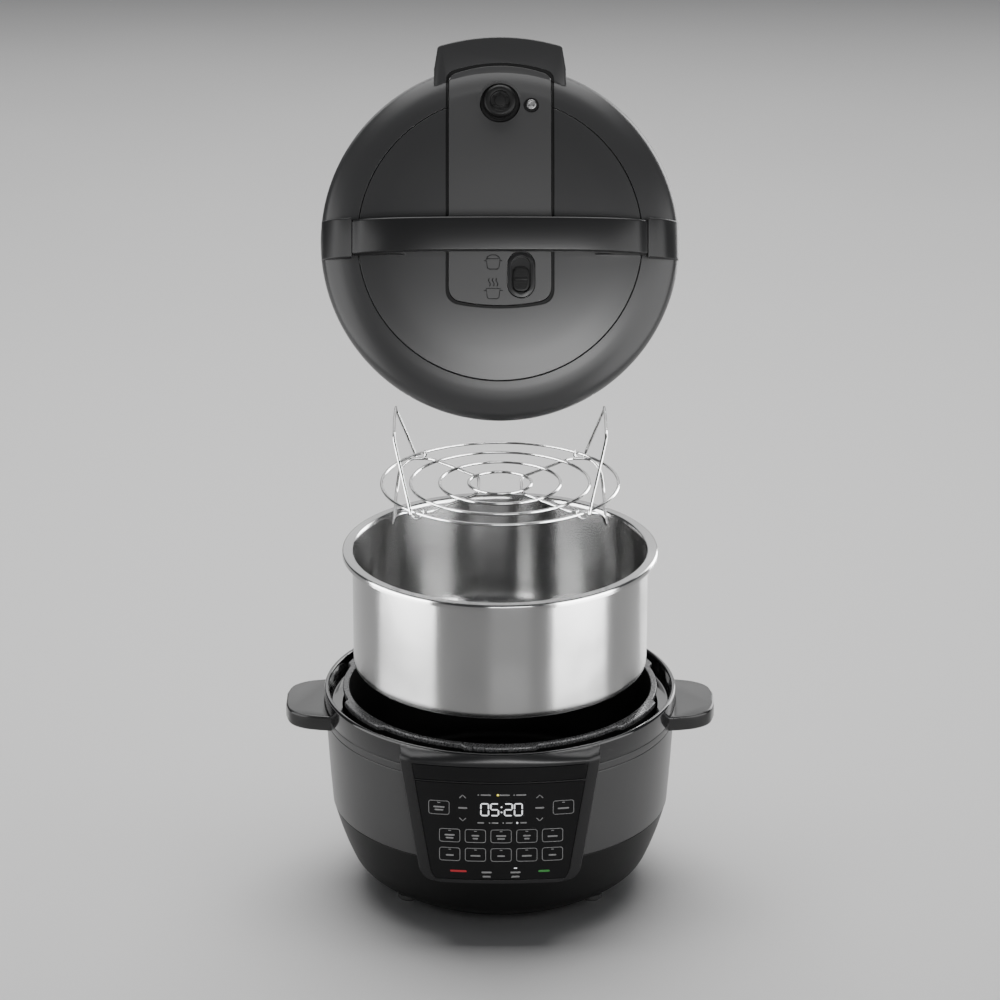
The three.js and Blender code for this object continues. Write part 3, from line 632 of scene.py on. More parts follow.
def make_shells():
    outside = smooth_line([p for p in BODY_PROFILE if p[1] < 80] + [(159.3, 81.2)], 5)
    inside = smooth_line([(156.6, 81.4), (150.2, 61), (142.6, 41.4), (134.2, 26.2), (119.4, 15.2)], 4)
    lower = turned(outside + [(159, 81.6), (157, 81.6)] + inside + [(110, 9.2), (106, 9.2), (106, 6)],
                   loop=True)
    inlet_hole = slab(rounded([(-15.5, 40.5, 2), (15.5, 40.5, 2), (15.5, 63.5, 2), (-15.5, 63.5, 2)],
                              loop=True), 120, 170)
    piece("lower_shell", cut(lower, stood_up(inlet_hole)), BASE, MATTE_BLACK)
    middle = rounded([(157.2, 82.2), (159.8, 82.2, 0.8), (162.7, 120, 20), (165.3, 166.6, 0.8),
                      (162.6, 166.6), (160.1, 120)], loop=True)
    piece("mid_shell", turned(middle, loop=True), BASE, SATIN_GREY)
    band = rounded([(162.6, 167), (165.4, 167, 0.7), (165.7, 174.4, 0.7), (162.6, 174.4)], loop=True)
    piece("trim_band", turned(band, loop=True), BASE, SATIN_GREY)
    collar = rounded([(166, 175.0, 0.6), (COLLAR_RADIUS, 194.8, 1.4), (165.4, 196.4, 0.8),
                      (163.4, 196.4, 0.8), (162.3, 194.6, 1), (162.1, 180.4, 1.4), (159.6, 178.2, 1),
                      (150, 177), (150, 175.0)], loop=True)
    piece("top_collar", turned(collar, loop=True), BASE, GLOSS_BLACK)


def make_well():
    def profile(angle):
        out = FLANGE_RADIUS + (LUG_RADIUS - FLANGE_RADIUS) * is_lug(angle)
        return rounded([(114, 78.4), (WELL_RADIUS, 78.4, 6), (WELL_RADIUS, FLANGE_TOP, 1.6),
                        (out, FLANGE_TOP, 1.6), (out, FLANGE_TOP - 4.5, 0.6), (145.5, FLANGE_TOP - 4.5),
                        (145.5, 76, 5), (114, 76)], loop=True)
    well = piece("pot_well", turned(profile, 360, loop=True), BASE, FLANGE_CAST)
    # Below the flange the wall of the well gets painted shade: near-black for the deep gap round the
    # pot.
    paint_recess_shade(well, BASE, lambda x, y, z: z < FLANGE_TOP - 5)
    plate = rounded([(10.2, 74), (104, 74), (111.6, 77.4), (111.6, 82.4, 1), (108, 83.8, 2),
                     (60, 83.8), (58.8, 83.2), (57.6, 83.8), (10.2, 83.8, 0.6)], loop=True)
    piece("heating_plate", turned(plate, loop=True), BASE, CAST_ALUMINIUM)
    sensor = rounded([(0, 62), (4.6, 62), (4.6, 72, 1), (9.6, 74.5, 1), (9.6, 84, 1.4), (0, 84)])
    piece("temperature_sensor", turned(sensor, 48), BASE, BRUSHED_STEEL)


def make_feet():
    for i in range(4):
        node = f"foot_{i + 1}"
        low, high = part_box(node)
        x, y = 500 * (low.x + high.x), 500 * (low.y + high.y) - 1000 * AXIS_Y
        profile = rounded([(0, 0.5), (5.4, 0.5), (5.8, 0, 0.3), (8.4, 0, 0.8), (9.8, 1.4, 0.8),
                           (9.8, 5.6), (0, 5.6)])
        piece(node, turned(profile, 40, x, y), BASE, RUBBER)


def handle_outline(amount, root_radius):
    """Plan outline of the right-hand carrying handle; its root follows the body."""
    w = 46 - amount
    tip = SIDE_HANDLE_TIP - amount
    half = math.degrees(math.asin((w + 1) / root_radius))
    root = arc(0, 0, root_radius, half, -half, 14)
    front = smooth_line([root[-1], (172, -w + 1.2), (184, -w + 4.6), (194, -w + 11),
                         (tip - 3.4, -w + 19), (tip, -w + 33)], 5)
    back = [(x, -y) for x, y in reversed(front)]
    return root[:-1] + front + back[:-1]


def make_side_handles():
    block = slab(handle_outline(0, 165.4), 166, 181, 2.4, 5)
    pocket = slab(handle_outline(3.2, 170.8), 160, 177.2, 0.8)
    right = cut(block, pocket)
    piece("side_handle_right", right, BASE, HANDLE_BLACK)
    piece("side_handle_left", mirrored(right), BASE, HANDLE_BLACK)


# ---- Control panel ----
def panel_at(height):
    """Front of the panel at a height: place at the middle, plan radius and half width."""
    t = (height - PANEL_LOW) / (PANEL_HIGH - PANEL_LOW)
    return -166.4 - 4.8 * t, 450 - 120 * t, 73 + 19 * t


def panel_y(x, z):
    front, radius, _ = panel_at(min(z, PANEL_HIGH))
    return front + radius - math.sqrt(radius * radius - x * x)


def corner_pull(z, corner=13.0):
    """How much a side comes in where the lower corners of the panel are rounded."""
    drop = min(max((PANEL_LOW + corner - z) / corner, 0), 1)
    return corner * (1 - math.sqrt(1 - drop * drop)) * 0.8


def shield_ring(z, pocket):
    """Plan outline of the shield at a height; where there is a pocket, the front stands back."""
    half = panel_at(z)[2] - corner_pull(z)
    lens_half = half - 10.7
    inner = body_radius(z) - 1
    wall = -math.sqrt(inner * inner - half * half)
    side = [(half, wall), (half, panel_y(half, z) + 4.4), (half - 0.5, panel_y(half, z) + 3.2),
            (half - 1.4, panel_y(half, z) + 2.6), (lens_half + 1.2, panel_y(lens_half, z) + 0.1),
            (lens_half, panel_y(lens_half, z))]
    depth = 1.4 if pocket else 0
    count = 28
    front = [(x, panel_y(x, z) + depth) for x in
             (lens_half - 2 * lens_half * k / count for k in range(count + 1))]
    back = [(x, -math.sqrt(inner * inner - x * x)) for x in steps_between(-half, half, 24)[1:-1]]
    outline = side + front + [(-x, y) for x, y in reversed(side)] + back
    return [(x, y, z) for x, y in outline]


def cap_ring(t):
    """Sloping top of the shield, from the front face at t = 0 to the rim of the collar at t = 1."""
    z = PANEL_HIGH + 8.2 * t
    ease = t * t
    rows = []
    for x, y, _ in shield_ring(PANEL_HIGH, False):
        rim = -math.sqrt(168.2 ** 2 - x * x)
        rows.append((x * (1 - 0.004 * t), y + (rim - y) * ease if y < rim else y, z))
    return rows


def steps_between(low, high, count):
    return [low + (high - low) * k / count for k in range(count + 1)]


def make_panel():
    rows = [shield_ring(PANEL_LOW + up, False) for up in (0, 0.6, 1.6, 3.6)]
    rows += [shield_ring(z, True) for z in steps_between(69.62, 168.88, 24)]
    rows += [shield_ring(z, False) for z in (168.9, 169.9)]
    rows += [shield_ring(z, True) for z in steps_between(169.92, 185.38, 4)]
    rows += [shield_ring(185.4, False)] + [cap_ring(t) for t in steps_between(0, 1, 6)]
    piece("panel_shield", skin(rows), BASE, DARK_CHARCOAL)
    piece("panel_lens", panel_sheet(*LENS_HEIGHTS, 22), BASE, LENS_BLACK)
    piece("panel_band", panel_sheet(*BAND_HEIGHTS, 6), BASE, LENS_BLACK)


def panel_sheet(low, high, count):
    """Thin curved window between two heights, flush with the shield, with eased edges."""
    rows = []
    heights = [(low, SHEET_EDGE), (low + SHEET_EDGE, 0)]
    heights += [(z, 0) for z in steps_between(low + 1, high - 1, count)]
    heights += [(high - SHEET_EDGE, 0), (high, SHEET_EDGE)]
    for z, ease in heights:
        half = panel_at(z)[2] - corner_pull(z) - 11
        spots = [half - 2 * half * k / 28 for k in range(29)]
        side_y = panel_y(half, z) + SHEET_EDGE
        front = [(x * (1 - SHEET_EDGE / half), panel_y(x, z) + ease, z) for x in spots]
        front = [(half, side_y, z)] + front + [(-half, side_y, z)]
        behind = [(x, panel_y(x, z) + 1.2, z) for x in reversed(spots)]
        rows.append(front + behind)
    return skin(rows)


def on_panel(point, lift):
    return point[0], panel_y(*point) - lift, point[1]


def printed(outline):
    """Thin raised ink in the shape of an outline (x, z) on the front of the panel."""
    return skin([[on_panel(p, lift) for p in outline] for lift in (-INK_SUNK, INK_LIFT)])


def stroke(points, width, loop=False):
    """A pen line of ink on the panel."""
    line = [Vector(p) for p in points]
    count = len(line)
    rows = []
    for i, point in enumerate(line):
        before = line[i - 1] if loop or i else point
        after = line[(i + 1) % count] if loop or i + 1 < count else point
        along = (after - before).normalized()
        across = Vector((-along.y, along.x)) * width / 2
        left, right = point + across, point - across
        rows.append([on_panel(left, -INK_SUNK), on_panel(right, -INK_SUNK),
                     on_panel(right, INK_LIFT), on_panel(left, INK_LIFT)])
    return skin(rows, loop_rows=loop)


def key_outline(x, z, width, height, corner=2.2):
    w, h = width / 2 - corner, height / 2 - corner
    line = []
    for sx, sz, start in ((1, 1, 0), (-1, 1, 90), (-1, -1, 180), (1, -1, 270)):
        line += arc(x + sx * w, z + sz * h, corner, start, start + 90, 4)
        if sz * sx > 0:
            line += [(x + sx * w * k, z + sz * (h + corner)) for k in (0.6, 0.2, -0.2, -0.6)]
    return line


def bar(x, z, width, height):
    """Short rounded dash that stands in for a label."""
    r = height / 2
    w = width / 2 - r
    return printed(arc(x + w, z, r, -90, 90, 4) + arc(x - w, z, r, 90, 270, 4))


def dot(x, z, radius):
    return printed(arc(x, z, radius, 0, 330, 11))


SEGMENTS = {"0": "abcdef", "2": "abged", "5": "afgcd"}
CLOCK_LEVEL = 142.4
SIDE_KEY_LEVEL = 143.0
TOP_LAMP_LEVEL = 157.3
LOW_LAMP_LEVEL = 128.8
MARK_LEVEL = 78.4
PEN = 0.55


def digit(character, x, z, width=7.0, height=12.0, pen=1.15):
    """Seven-segment figure about (x, z)."""
    w, h, gap = width / 2, height / 2, 0.35
    corners = {"a": ((-w, h), (w, h)), "b": ((w, h), (w, 0)), "c": ((w, 0), (w, -h)),
               "d": ((-w, -h), (w, -h)), "e": ((-w, 0), (-w, -h)), "f": ((-w, h), (-w, 0)),
               "g": ((-w, 0), (w, 0))}
    made = []
    for name in SEGMENTS[character]:
        (x0, z0), (x1, z1) = corners[name]
        along = Vector((x1 - x0, z1 - z0)).normalized()
        across = Vector((-along.y, along.x)) * pen / 2
        start = Vector((x + x0, z + z0)) + along * gap
        end = Vector((x + x1, z + z1)) - along * gap
        nose = along * pen / 2
        made.append(printed([start, start + nose + across, end - nose + across, end,
                             end - nose - across, start + nose - across]))
    return made


def make_prints():
    keys = [(x, z) for z in (115.0, 95.7) for x in (-46.3, -22.6, 1.0, 24.7, 48.3)]
    lines, bars = [], []
    for i, (x, z) in enumerate(keys):
        lines.append(stroke(key_outline(x, z, 18.8, 13.2), PEN, loop=True))
        rows = (0.4, -2.6) if i in (0, 1, 2, 3) else (-1.1,)
        bars += [bar(x, z + row, 9.4 - 2.2 * (k + i % 2), 1.5) for k, row in enumerate(rows)]
        bars.append(bar(x, z + 4.9, 2.6, 0.7))
    for x, rows in ((-56.0, (0.6, -2.4)), (58.2, (-1.0,))):
        lines.append(stroke(key_outline(x, SIDE_KEY_LEVEL, 18.8, 13.6), PEN, loop=True))
        bars += [bar(x, SIDE_KEY_LEVEL + row, 10.5 - 2.5 * k, 1.5) for k, row in enumerate(rows)]
        bars.append(bar(x, SIDE_KEY_LEVEL + 5, 2.6, 0.8))
    for x in (-34.2, 36.4):
        for z, up in ((155.2, 1), (131.8, -1)):
            lines.append(stroke([(x - 3, z - 1.5 * up), (x, z + 1.5 * up), (x + 3, z - 1.5 * up)], 0.8))
        bars.append(bar(x, 143.6, 8.4, 1.6))
    bars += [bar(x, TOP_LAMP_LEVEL, 9.4, 1.3) for x in (-13.0, 4.2, 19.4)]
    bars += [bar(x, LOW_LAMP_LEVEL, 6.2, 1.3) for x in (-17.6, -4.6, 8.4, 21.6)]
    bars += [bar(x, z, 9.6 - 2 * (z < 75), 1.7) for x in (-12.3, 14.3) for z in (77.6, 73.2)]
    lines += [dot(x, TOP_LAMP_LEVEL, 0.7) for x in (-19.8, 12.9)]
    lines += [dot(x, LOW_LAMP_LEVEL, 0.7) for x in (-9.6, 2.9)]
    detail("key_outlines", "panel_lens", together(*lines), BASE, WHITE_INK_PAINTED_GLOW)
    detail("key_marks", "panel_lens", together(*bars), BASE, WHITE_INK_PAINTED_GLOW)
    clock = []
    for character, x in zip("0520", (-14.0, -4.9, 7.7, 16.8)):
        clock += digit(character, x, CLOCK_LEVEL)
    clock += [dot(1.4, CLOCK_LEVEL + side, 0.75) for side in (-2.6, 2.6)]
    clock += [dot(15.8, LOW_LAMP_LEVEL, 0.9), bar(14.3, 82.0, 3.0, 0.9)]
    detail("clock_figures", "panel_lens", together(*clock), BASE, LIT_WHITE)
    detail("cook_light", "panel_lens", dot(-1.9, TOP_LAMP_LEVEL + 0.1, 1.05), BASE, LIT_YELLOW)
    detail("cancel_mark", "panel_lens", bar(-38.4, MARK_LEVEL, 15.4, 2.0), BASE, RED_INK_PAINTED_GLOW)
    detail("start_mark", "panel_lens", bar(40.6, MARK_LEVEL, 10.6, 2.0), BASE, GREEN_INK_PAINTED_GLOW)


# ---- Back of the base ----
def rounded_box(x0, x1, y0, y1, corner):
    corners = [(x0, y0, corner), (x1, y0, corner), (x1, y1, corner), (x0, y1, corner)]
    return rounded(corners, loop=True)


def make_back():
    cup = slab(rounded_box(-31, 31, 170.5, 187.2, 6), 122, 172, 1.6)
    hollow = slab(rounded_box(-29, 29, 172.5, 185.2, 4.5), 124, 180, 1)
    piece("collector_cup", cut(cup, hollow), BASE, SMOKED)
    dress(MATTE_BLACK, "power_inlet", "collector_bracket", "base_plate", "display_module")
    dress(BRUSHED_STEEL, "inlet_pin_1", "inlet_pin_2", "inlet_pin_3", "heating_element", "heat_shield")
    dress(CIRCUIT, "control_board", "power_board")


# ---- Pot and rack ----
def make_pot():
    wall = POT_RADIUS - POT_WALL
    outside = [(0, POT_FLOOR), (118, POT_FLOOR), (POT_RADIUS, POT_FLOOR, 24), (POT_RADIUS, 199.6, 1.6),
               (140, 200.8), (145.4, 200.8, 0.8), (146.7, 199.4, 0.4), (146.7, 197.4),
               (POT_RIM_RADIUS, 197.4), (POT_RIM_RADIUS, POT_TOP, 2.6), (POT_RADIUS, POT_TOP, 2),
               (wall, 199.4, 2)]
    inside = [(wall, POT_FLOOR + POT_WALL, 23), (60, POT_FLOOR + POT_WALL), (0, POT_FLOOR + POT_WALL)]
    profile = rounded(outside + inside, steps=10)
    piece("inner_pot", turned(profile, 256), POT, MIRROR_STEEL, 40)


def wire_ring(radius, height, thick):
    section = arc(radius, height, thick, 0, 330, 11)
    return turned(section, FINE, loop=True)


def bent(points, ease, steps=4):
    """Closed line of straight runs whose corners are eased, as bent wire has them."""
    line = [Vector(p) for p in points]
    made = []
    for i, here in enumerate(line):
        before, after = line[i - 1] - here, line[(i + 1) % len(line)] - here
        start = here + before.normalized() * min(ease, 0.45 * before.length)
        end = here + after.normalized() * min(ease, 0.45 * after.length)
        for k in range(steps + 1):
            t = k / steps
            made.append(tuple(start * (1 - t) ** 2 + here * 2 * t * (1 - t) + end * t * t))
    return made


def cross_wire(side):
    """Bent wire that holds the rings together and reaches down to a foot at either end."""
    low = RACK_PLANE - 2.2
    floor = RACK_PLANE - RACK_FOOT
    half = [(20, 21, low), (66, 72, low), (86, 72, low), (95, 62, low - 7), (98, 45, floor)]
    line = half + [(x, -y, z) for x, y, z in reversed(half)]
    return tube(bent([(side * x, y, z) for x, y, z in line], 7), RACK_WIRE, loop=True)


def rack_handle():
    """Right-hand handle: a bow of wire with a hook round the outer ring at either end."""
    hook = [(5.6 * math.cos(math.radians(a)), 5.6 * math.sin(math.radians(a)))
            for a in (160, 205, 250, 295, 340)] + [(6.2, 3)]
    end = [(76 + x, -80, RACK_PLANE + z) for x, z in hook]
    top = RACK_PLANE + 62
    half = end + [(96.4, -44, top - 8), (97.4, -35, top)]
    line = half + [(97.8, 0, top + 1)] + [(x, -y, z) for x, y, z in reversed(half)]
    return tube(smooth_line(line, 8, pull=0.3), 1.3)


def make_rack():
    grid = together(*[wire_ring(r, RACK_PLANE, RACK_WIRE) for r in RACK_RINGS],
                    cross_wire(1), cross_wire(-1))
    piece("rack_grid", grid, RACK, WIRE_STEEL, 60)
    piece("rack_handle_right", rack_handle(), RACK, WIRE_STEEL, 60)
    piece("rack_handle_left", mirrored(rack_handle()), RACK, WIRE_STEEL, 60)


# ---- Lid ----
LID_LINE = smooth_line(LID_TOP, 6)


def lid_core(margin):
    """Everything under the top surface of the lid, raised by a margin."""
    line = [(r, z + margin) for r, z in LID_LINE]
    return turned([(0, 190), (164.4, 190)] + line)


def strip_outline(margin):
    w, front, back = STRIP_HALF + margin, STRIP_FRONT - margin, STRIP_BACK + margin
    line = [(-w, front + 18)]
    line += quadratic(line[-1], (-w, front + 5), (-w + 13, front + 3.2))
    line += quadratic(line[-1], (0, front - 3.2), (w - 13, front + 3.2), 14)
    line += quadratic(line[-1], (w, front + 5), (w, front + 18))
    line.append((w, back - 16))
    line += quadratic(line[-1], (w, back - 8), (w - 9, back - 6))
    line += quadratic(line[-1], (0, back + 6), (-w + 9, back - 6), 14)
    line += quadratic(line[-1], (-w, back - 8), (-w, back - 16))
    return line


def tab_outline(amount):
    root, end, far = 60.5 - amount, 57.6 - amount, TAB_RADIUS - amount
    line = [(-root, 140), (-root, 157), (-end, far - 12.5)]
    line += quadratic(line[-1], (-end, far - 8.6), (-end + 4, far - 7.6))
    line += quadratic(line[-1], (0, far + 7.6), (end - 4, far - 7.6), 14)
    line += quadratic(line[-1], (end, far - 8.6), (end, far - 12.5))
    return line + [(root, 157), (root, 140)]


def groove_cutters():
    """The slot that the strip stands in, and the wider groove round its top, which has a floor."""
    slot = slab(strip_outline(0.5), 203, 240)
    floor = combined(lid_core(-2.0), slab(tab_outline(2), 190, TAB_TOP - 2), "UNION")
    return slot, cut(slab(strip_outline(GROOVE), 200, 240), floor)


def lid_height(x, y):
    """Top of the lid under a point of its plan."""
    r = math.hypot(x, y)
    for (r0, z0), (r1, z1) in zip(LID_LINE, LID_LINE[1:]):
        if r >= r1:
            return z0 + (z1 - z0) * min((r0 - r) / max(r0 - r1, 0.001), 1)
    return LID_LINE[-1][1]


# Faces down in the groove round the strip, which get painted shade.
def in_shaded_groove(x, y, z):
    inside = abs(x) < STRIP_HALF + GROOVE + 0.1 and STRIP_FRONT - GROOVE < y
    top = lid_height(x, y) if math.hypot(x, y) < 150 else TAB_TOP
    return inside and z < top - 0.7


# Faces down in the valve's moat and the float's hole, which get painted shade.
def in_shaded_strip_hole(x, y, z):
    by_valve = math.hypot(x - VALVE[0], y - VALVE[1]) < 18.8
    by_float = math.hypot(x - FLOAT[0], y - FLOAT[1]) < 7.2
    return (by_valve or by_float) and z < lid_height(x, y) + 1.1


def make_lid_skins():
    outer = smooth_line([(164.2, 197.6), (164.4, 201), (163.2, 206.5), (159.4, 212.4), (150, 218),
                         (140, 221.6), (130.4, 224.0)], 5)
    inner = smooth_line([(130.0, 221.4), (140, 219), (149, 215.5), (157, 210.6), (160.6, 205.6),
                         (161.4, 201), (161.4, 197.6)], 4)
    ring = turned(outer + [(130.0, 223.6)] + inner, loop=True)
    tab = cut(slab(tab_outline(0), 198, TAB_TOP, 1.4, 4), slab(tab_outline(2.6), 190, TAB_TOP - 3.8),
              lid_core(-2))
    cutters = groove_cutters()
    ring = piece("lid_ring", cut(combined(ring, tab, "UNION"), *cutters), LID, SATIN_CHARCOAL)
    # The floor and walls of the groove get painted shade.
    paint_recess_shade(ring, LID, in_shaded_groove)
    r = LID_SEAM - 0.3
    dome_top = smooth_line([(r - 0.4, 224.2), (100, 228.6), (60, 231.6), (0, 233)], 8)
    dome = turned([(0, 230.2), (60, 228.8), (99, 225.9), (r - 2.6, 221.8), (r - 2.6, 218.4), (r, 218.4),
                   (r, 223.7)] + dome_top)
    paint_recess_shade(piece("lid_dome", cut(dome, *cutters), LID, SATIN_CHARCOAL), LID, in_shaded_groove)


def make_strip():
    shell = cut(lid_core(1.4), lid_core(-2.4))
    strip = combined(shell, slab(strip_outline(0), 203, 240), "INTERSECT")
    back = [p for p in strip_outline(0) if p[1] > 138][::-1]
    end = [(-STRIP_HALF, 138)] + back + [(STRIP_HALF, 138)]
    strip = combined(strip, slab(end, STRIP_END_TOP - 3.2, STRIP_END_TOP, 0.6), "UNION")
    floor = turned([(0, 220.4), (20.2, 220.4), (20.2, 225.4), (0, 225.4)], 64, *VALVE)
    strip = combined(strip, floor, "UNION")
    moat = [(0, 225.4), (14.9, 225.4), (14.9, 221.6), (17.6, 221.6), (17.8, 225.6), (18.6, 226.6),
            (18.6, 240), (0, 240)]
    float_hole = [(0, 190), (4.1, 190), (4.1, 224.2), (6.6, 224.2), (6.6, 225.6), (7.2, 226.4),
                  (7.2, 240), (0, 240)]
    strip = cut(strip, turned(moat, 72, *VALVE), turned(float_hole, 48, *FLOAT),
                slab(stadium(*SWITCH, 12.8, 8.8), 200, 250))
    # The valve's moat and the float's hole get painted shade.
    paint_recess_shade(piece("lid_strip", strip, LID, STRIP_CHARCOAL), LID, in_shaded_strip_hole)


def make_lid_handle():
    top = smooth_line([(-134, 237), (-122, 248), (-98, 256.8), (-60, 262.4), (0, 264.5),
                       (60, 262.4), (98, 256.8), (122, 248), (134, 237)], 6)
    under = smooth_line([(104, 236.4), (92, 244.6), (70, 250.2), (40, 253.4), (0, 254.4),
                         (-40, 253.4), (-70, 250.2), (-92, 244.6), (-104, 236.4)], 6)
    outline = top + [(134, 218), (86, 218), (86, 232.4), (90, 235)] + under
    outline += [(-90, 235), (-86, 232.4), (-86, 218), (-134, 218)]
    arch = slab(outline, -HANDLE_HALF, HANDLE_HALF, 1.9, 4)
    piece("lid_handle", stood_up(arch), LID, DARK_CHARCOAL)
    shoulder = smooth_line([(134.6, 236.6), (148, 229), (157, 219.4), (162.4, 210.4),
                            (163.6, 203.4)], 6)
    outline = shoulder + [(160.4, 207), (154, 213.6), (145, 218.2), (134.6, 221.4)]
    end = stood_up(slab(outline, -HANDLE_HALF - 2.6, HANDLE_HALF + 2.6, 1.6, 4))
    piece("handle_end_right", end, LID, DARK_CHARCOAL)
    piece("handle_end_left", mirrored(end), LID, DARK_CHARCOAL)


def make_switch():
    x, y = SWITCH
    cup = cut(slab(stadium(x, y, 12.35, 8.8), 226, 234.2, 0.8),
              slab(stadium(x, y, 8.9, 8.3), 228.4, 240))
    piece("switch_bezel", cup, LID, DARK_CHARCOAL)
    knob = slab(rounded_box(x - 7.6, x + 7.6, y - 15.6, y + 7.4, 7.2), 228.8, 233.8, 0.9)
    ridge = slab(rounded_box(x - 6.2, x + 6.2, y - 6.0, y - 2.6, 1.4), 233, 235.8, 0.8)
    grooves = [slab(rounded_box(x - 5.4 + abs(k - 2) * 0.5, x + 5.4 - abs(k - 2) * 0.5,
                                y + at, y + at + 0.9, 0.4), 233.1, 240)
               for k, at in enumerate((-12.6, -10.6, -8.6, 0.4, 2.4, 4.4))]
    knob = cut(combined(knob, ridge, "UNION"), *grooves)
    piece("release_switch", knob, LID, MATTE_BLACK)


def lid_mark(line, loop=False):
    """A fine raised line on the strip; line is (x, y)."""
    return tube([(x, y, 234.4 - 0.0004 * (x * x + y * y)) for x, y in line], 0.32, 8, loop)


def make_icons():
    """Two plain pots beside the switch: lid shut above, steam rising below."""
    marks = []
    for x, y in ((-6.2, -23.5), (-6.2, -50.5)):
        marks.append(lid_mark([(x - 6.4, y + 4), (x + 6.4, y + 4), (x + 5.2, y - 4.4),
                               (x + 3.6, y - 5.4), (x - 3.6, y - 5.4), (x - 5.2, y - 4.4)], loop=True))
        marks.append(lid_mark([(x - 8.2, y + 2.2), (x - 6.2, y + 2.2)]))
        marks.append(lid_mark([(x + 6.2, y + 2.2), (x + 8.2, y + 2.2)]))
    cover = [(-12, -18.6), (-9.6, -16.6), (-6.2, -16), (-2.8, -16.6), (-0.4, -18.6)]
    marks.append(lid_mark(smooth_line(cover, 4)))
    for k in (-3.4, 0, 3.4):
        wave = [(-6.2 + k + 0.9 * math.sin(s * 1.5), -44.4 + s * 1.7) for s in range(5)]
        marks.append(lid_mark(smooth_line(wave, 3)))
    detail("switch_icons", "lid_strip", together(*marks), LID, DARK_CHARCOAL)


def make_valves():
    cap = rounded([(0, 233), (4.7, 233), (4.7, 226.2), (13.6, 226.2, 0.6), (14.6, 228, 0.8),
                   (14.6, 238, 1.4), (12.4, 239.6, 0.8), (9.4, 239.6, 0.6), (8.4, 237.9, 0.6),
                   (5.2, 237.9, 0.3), (4.8, 238.6, 0.3), (0, 238.6)])
    body = turned(cap, 96, *VALVE)
    notches = []
    for k in range(6):
        angle = math.radians(60 * k + 30)
        cx, cy = VALVE[0] + 7.0 * math.cos(angle), VALVE[1] + 7.0 * math.sin(angle)
        notches.append(turned([(0, 236.4), (1.15, 236.4), (1.15, 241), (0, 241)], 20, cx, cy))
    piece("valve_cap", cut(body, together(*notches)), LID, MATTE_BLACK)
    pin = rounded([(0, 200.6), (3.6, 200.6), (3.6, 224), (4.6, 225, 0.6), (4.6, 229, 1.2),
                   (2.4, 229, 0.4), (1.9, 228.4), (0, 228.4)])
    piece("float_valve", turned(pin, 48, *FLOAT), LID, PIN_STEEL)
    seal = rounded([(0, 196), (5, 196, 0.8), (5.6, 197.4, 0.6), (5.6, 199.4, 0.6), (4.4, 200.3),
                    (0, 200.3)])
    piece("float_seal", turned(seal, 48, *FLOAT), LID, SILICONE)
    guard = rounded([(0, 199.6), (7.4, 199.6, 0.8), (8, 201, 0.4), (8, 211.6), (6.6, 211.6),
                     (6.6, 202), (0, 202)])
    piece("vapour_cap", turned(guard, 48, *VALVE), LID, BRUSHED_STEEL)
    pipe = [(2, 205), (4.1, 205), (4.1, 214.2), (7, 214.2), (7, 217), (4.1, 217), (4.1, 230), (2, 231)]
    piece("valve_pipe", turned(pipe, 40, *VALVE, loop=True), LID, BRUSHED_STEEL)


def make_lid_underside():
    def profile(angle):
        reach = 154.6 - 4.7 * is_lug(angle)
        return rounded([(0, 212), (58, 212), (61, 212.7), (66, 212.7), (69, 212), (145.6, 212, 3),
                        (154.6, 206, 3), (154.6, 190.5), (reach, 190.5, 0.4), (reach, 186.5, 0.4),
                        (154.6, 186.5), (154.6, 184), (156.4, 184), (156.4, 206.6, 3), (152, 211, 2),
                        (146, 213.8, 2), (0, 213.8)], steps=3)
    piece("steel_lid", turned(profile, 360), LID, LID_STEEL)
    ring = rounded([(137.2, 203.2, 1), (147.4, 202.8, 1.2), (148, 209.6, 1.4), (144.8, 211.6, 1),
                    (137.8, 211.6, 1)], loop=True)
    piece("sealing_ring", turned(ring, loop=True), LID, SILICONE)
    piece("ring_holder", wire_ring(134.8, 207.2, 1.4), LID, WIRE_STEEL, 60)
    dress(BRUSHED_STEEL, "lid_nut")


# ---- Stage ----
def make_stage():
    corners = [(-FLOOR_HALF, -FLOOR_HALF), (FLOOR_HALF, -FLOOR_HALF), (FLOOR_HALF, FLOOR_HALF),
               (-FLOOR_HALF, FLOOR_HALF)]
    floor = shown("floor", slab(corners, -0.02, 0), Matrix.Identity(4), pale_floor())
    world = bpy.data.worlds.new("studio")
    world.use_nodes = True
    background = world.node_tree.nodes["Background"]
    background.inputs["Color"].default_value = (0.55, 0.56, 0.58, 1)
    background.inputs["Strength"].default_value = 0.22
    bpy.context.scene.world = world


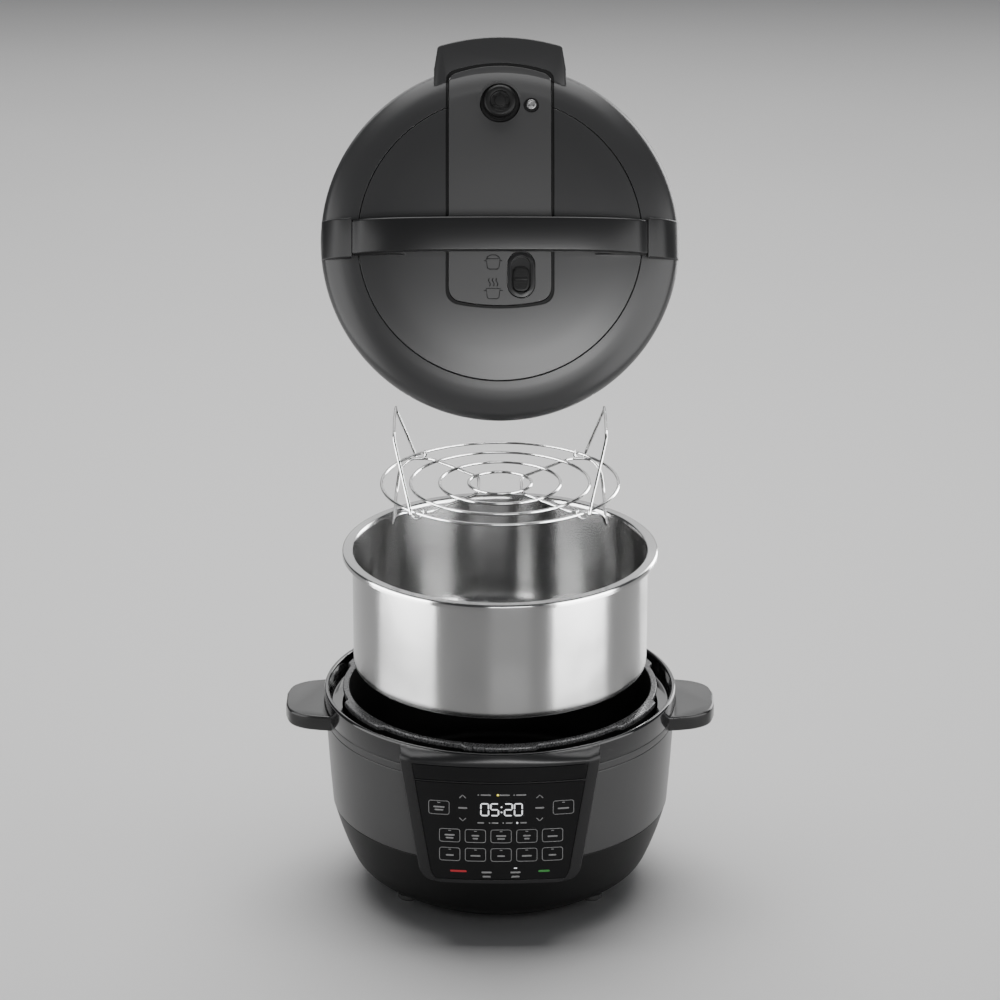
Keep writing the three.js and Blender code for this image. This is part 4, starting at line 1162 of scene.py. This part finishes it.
def pale_floor():
    made = Finish("pale_floor", (0.80, 0.795, 0.79), 0.6)
    made.vary_roughness(made.noise(400, 3), 0.05)
    return made.material


def soft_light(name, at, size, power, target=(0, 0, 0.4)):
    data = bpy.data.lights.new(name, "AREA")
    data.shape = "RECTANGLE"
    data.size, data.size_y = size
    data.energy = power
    light = bpy.data.objects.new(name, data)
    light.location = at
    light.visible_camera = False
    light.rotation_euler = (Vector(target) - Vector(at)).to_track_quat("-Z", "Y").to_euler()
    bpy.context.scene.collection.objects.link(light)
    return light


def lit_only(name, lights, nodes):
    """Keeps lights to the pieces that stand for some nodes, so that they don't spill on the rest."""
    group = bpy.data.collections.new(name)
    found = bpy.data.objects
    for node in nodes:
        made = found.get(node + "_fine") or found.get(node) or frame["nodes"][node]
        group.objects.link(made)
    for light in lights:
        light.light_linking.receiver_collection = group


def make_lights():
    above = soft_light("top_soft", (0, 0.7, 2.6), (2.6, 2.2), 84)
    lit_only("lit_from_above", (above,), ["floor"] + [n for n in BODY_OF if n != "inner_pot"])
    soft_light("back_soft", (0, 3.1, 1.6), (4.0, 1.5), 30)
    left = soft_light("left_box", (-0.95, -0.30, 0.50), (1.0, 1.1), 10)
    right = soft_light("right_box", (0.86, -0.50, 0.50), (1.0, 1.1), 11)
    rim = soft_light("right_rim", (1.0, 1.2, 0.7), (0.6, 1.3), 14)
    front = soft_light("front_soft", (0.55, -4.2, 1.35), (2.2, 1.0), 140, (0, 0, 0.6))
    lit_only("lit_object", (left, right, rim, front), BODY_OF)
    steel = [soft_light("steel_left", (-0.95, -0.30, 0.42), (0.95, 0.9), 70),
             soft_light("steel_right", (0.86, -0.50, 0.42), (0.8, 0.9), 68),
             soft_light("steel_rim", (0.75, 0.85, 0.42), (0.4, 0.9), 36)]
    lit_only("lit_steel", steel, ("inner_pot", "rack_grid", "rack_handle_right", "rack_handle_left"))


make_camera()
make_shells()
make_well()
make_feet()
make_side_handles()
make_panel()
make_prints()
make_back()
make_pot()
make_rack()
make_lid_skins()
make_strip()
make_lid_handle()
make_switch()
make_icons()
make_valves()
make_lid_underside()
make_stage()
make_lights()
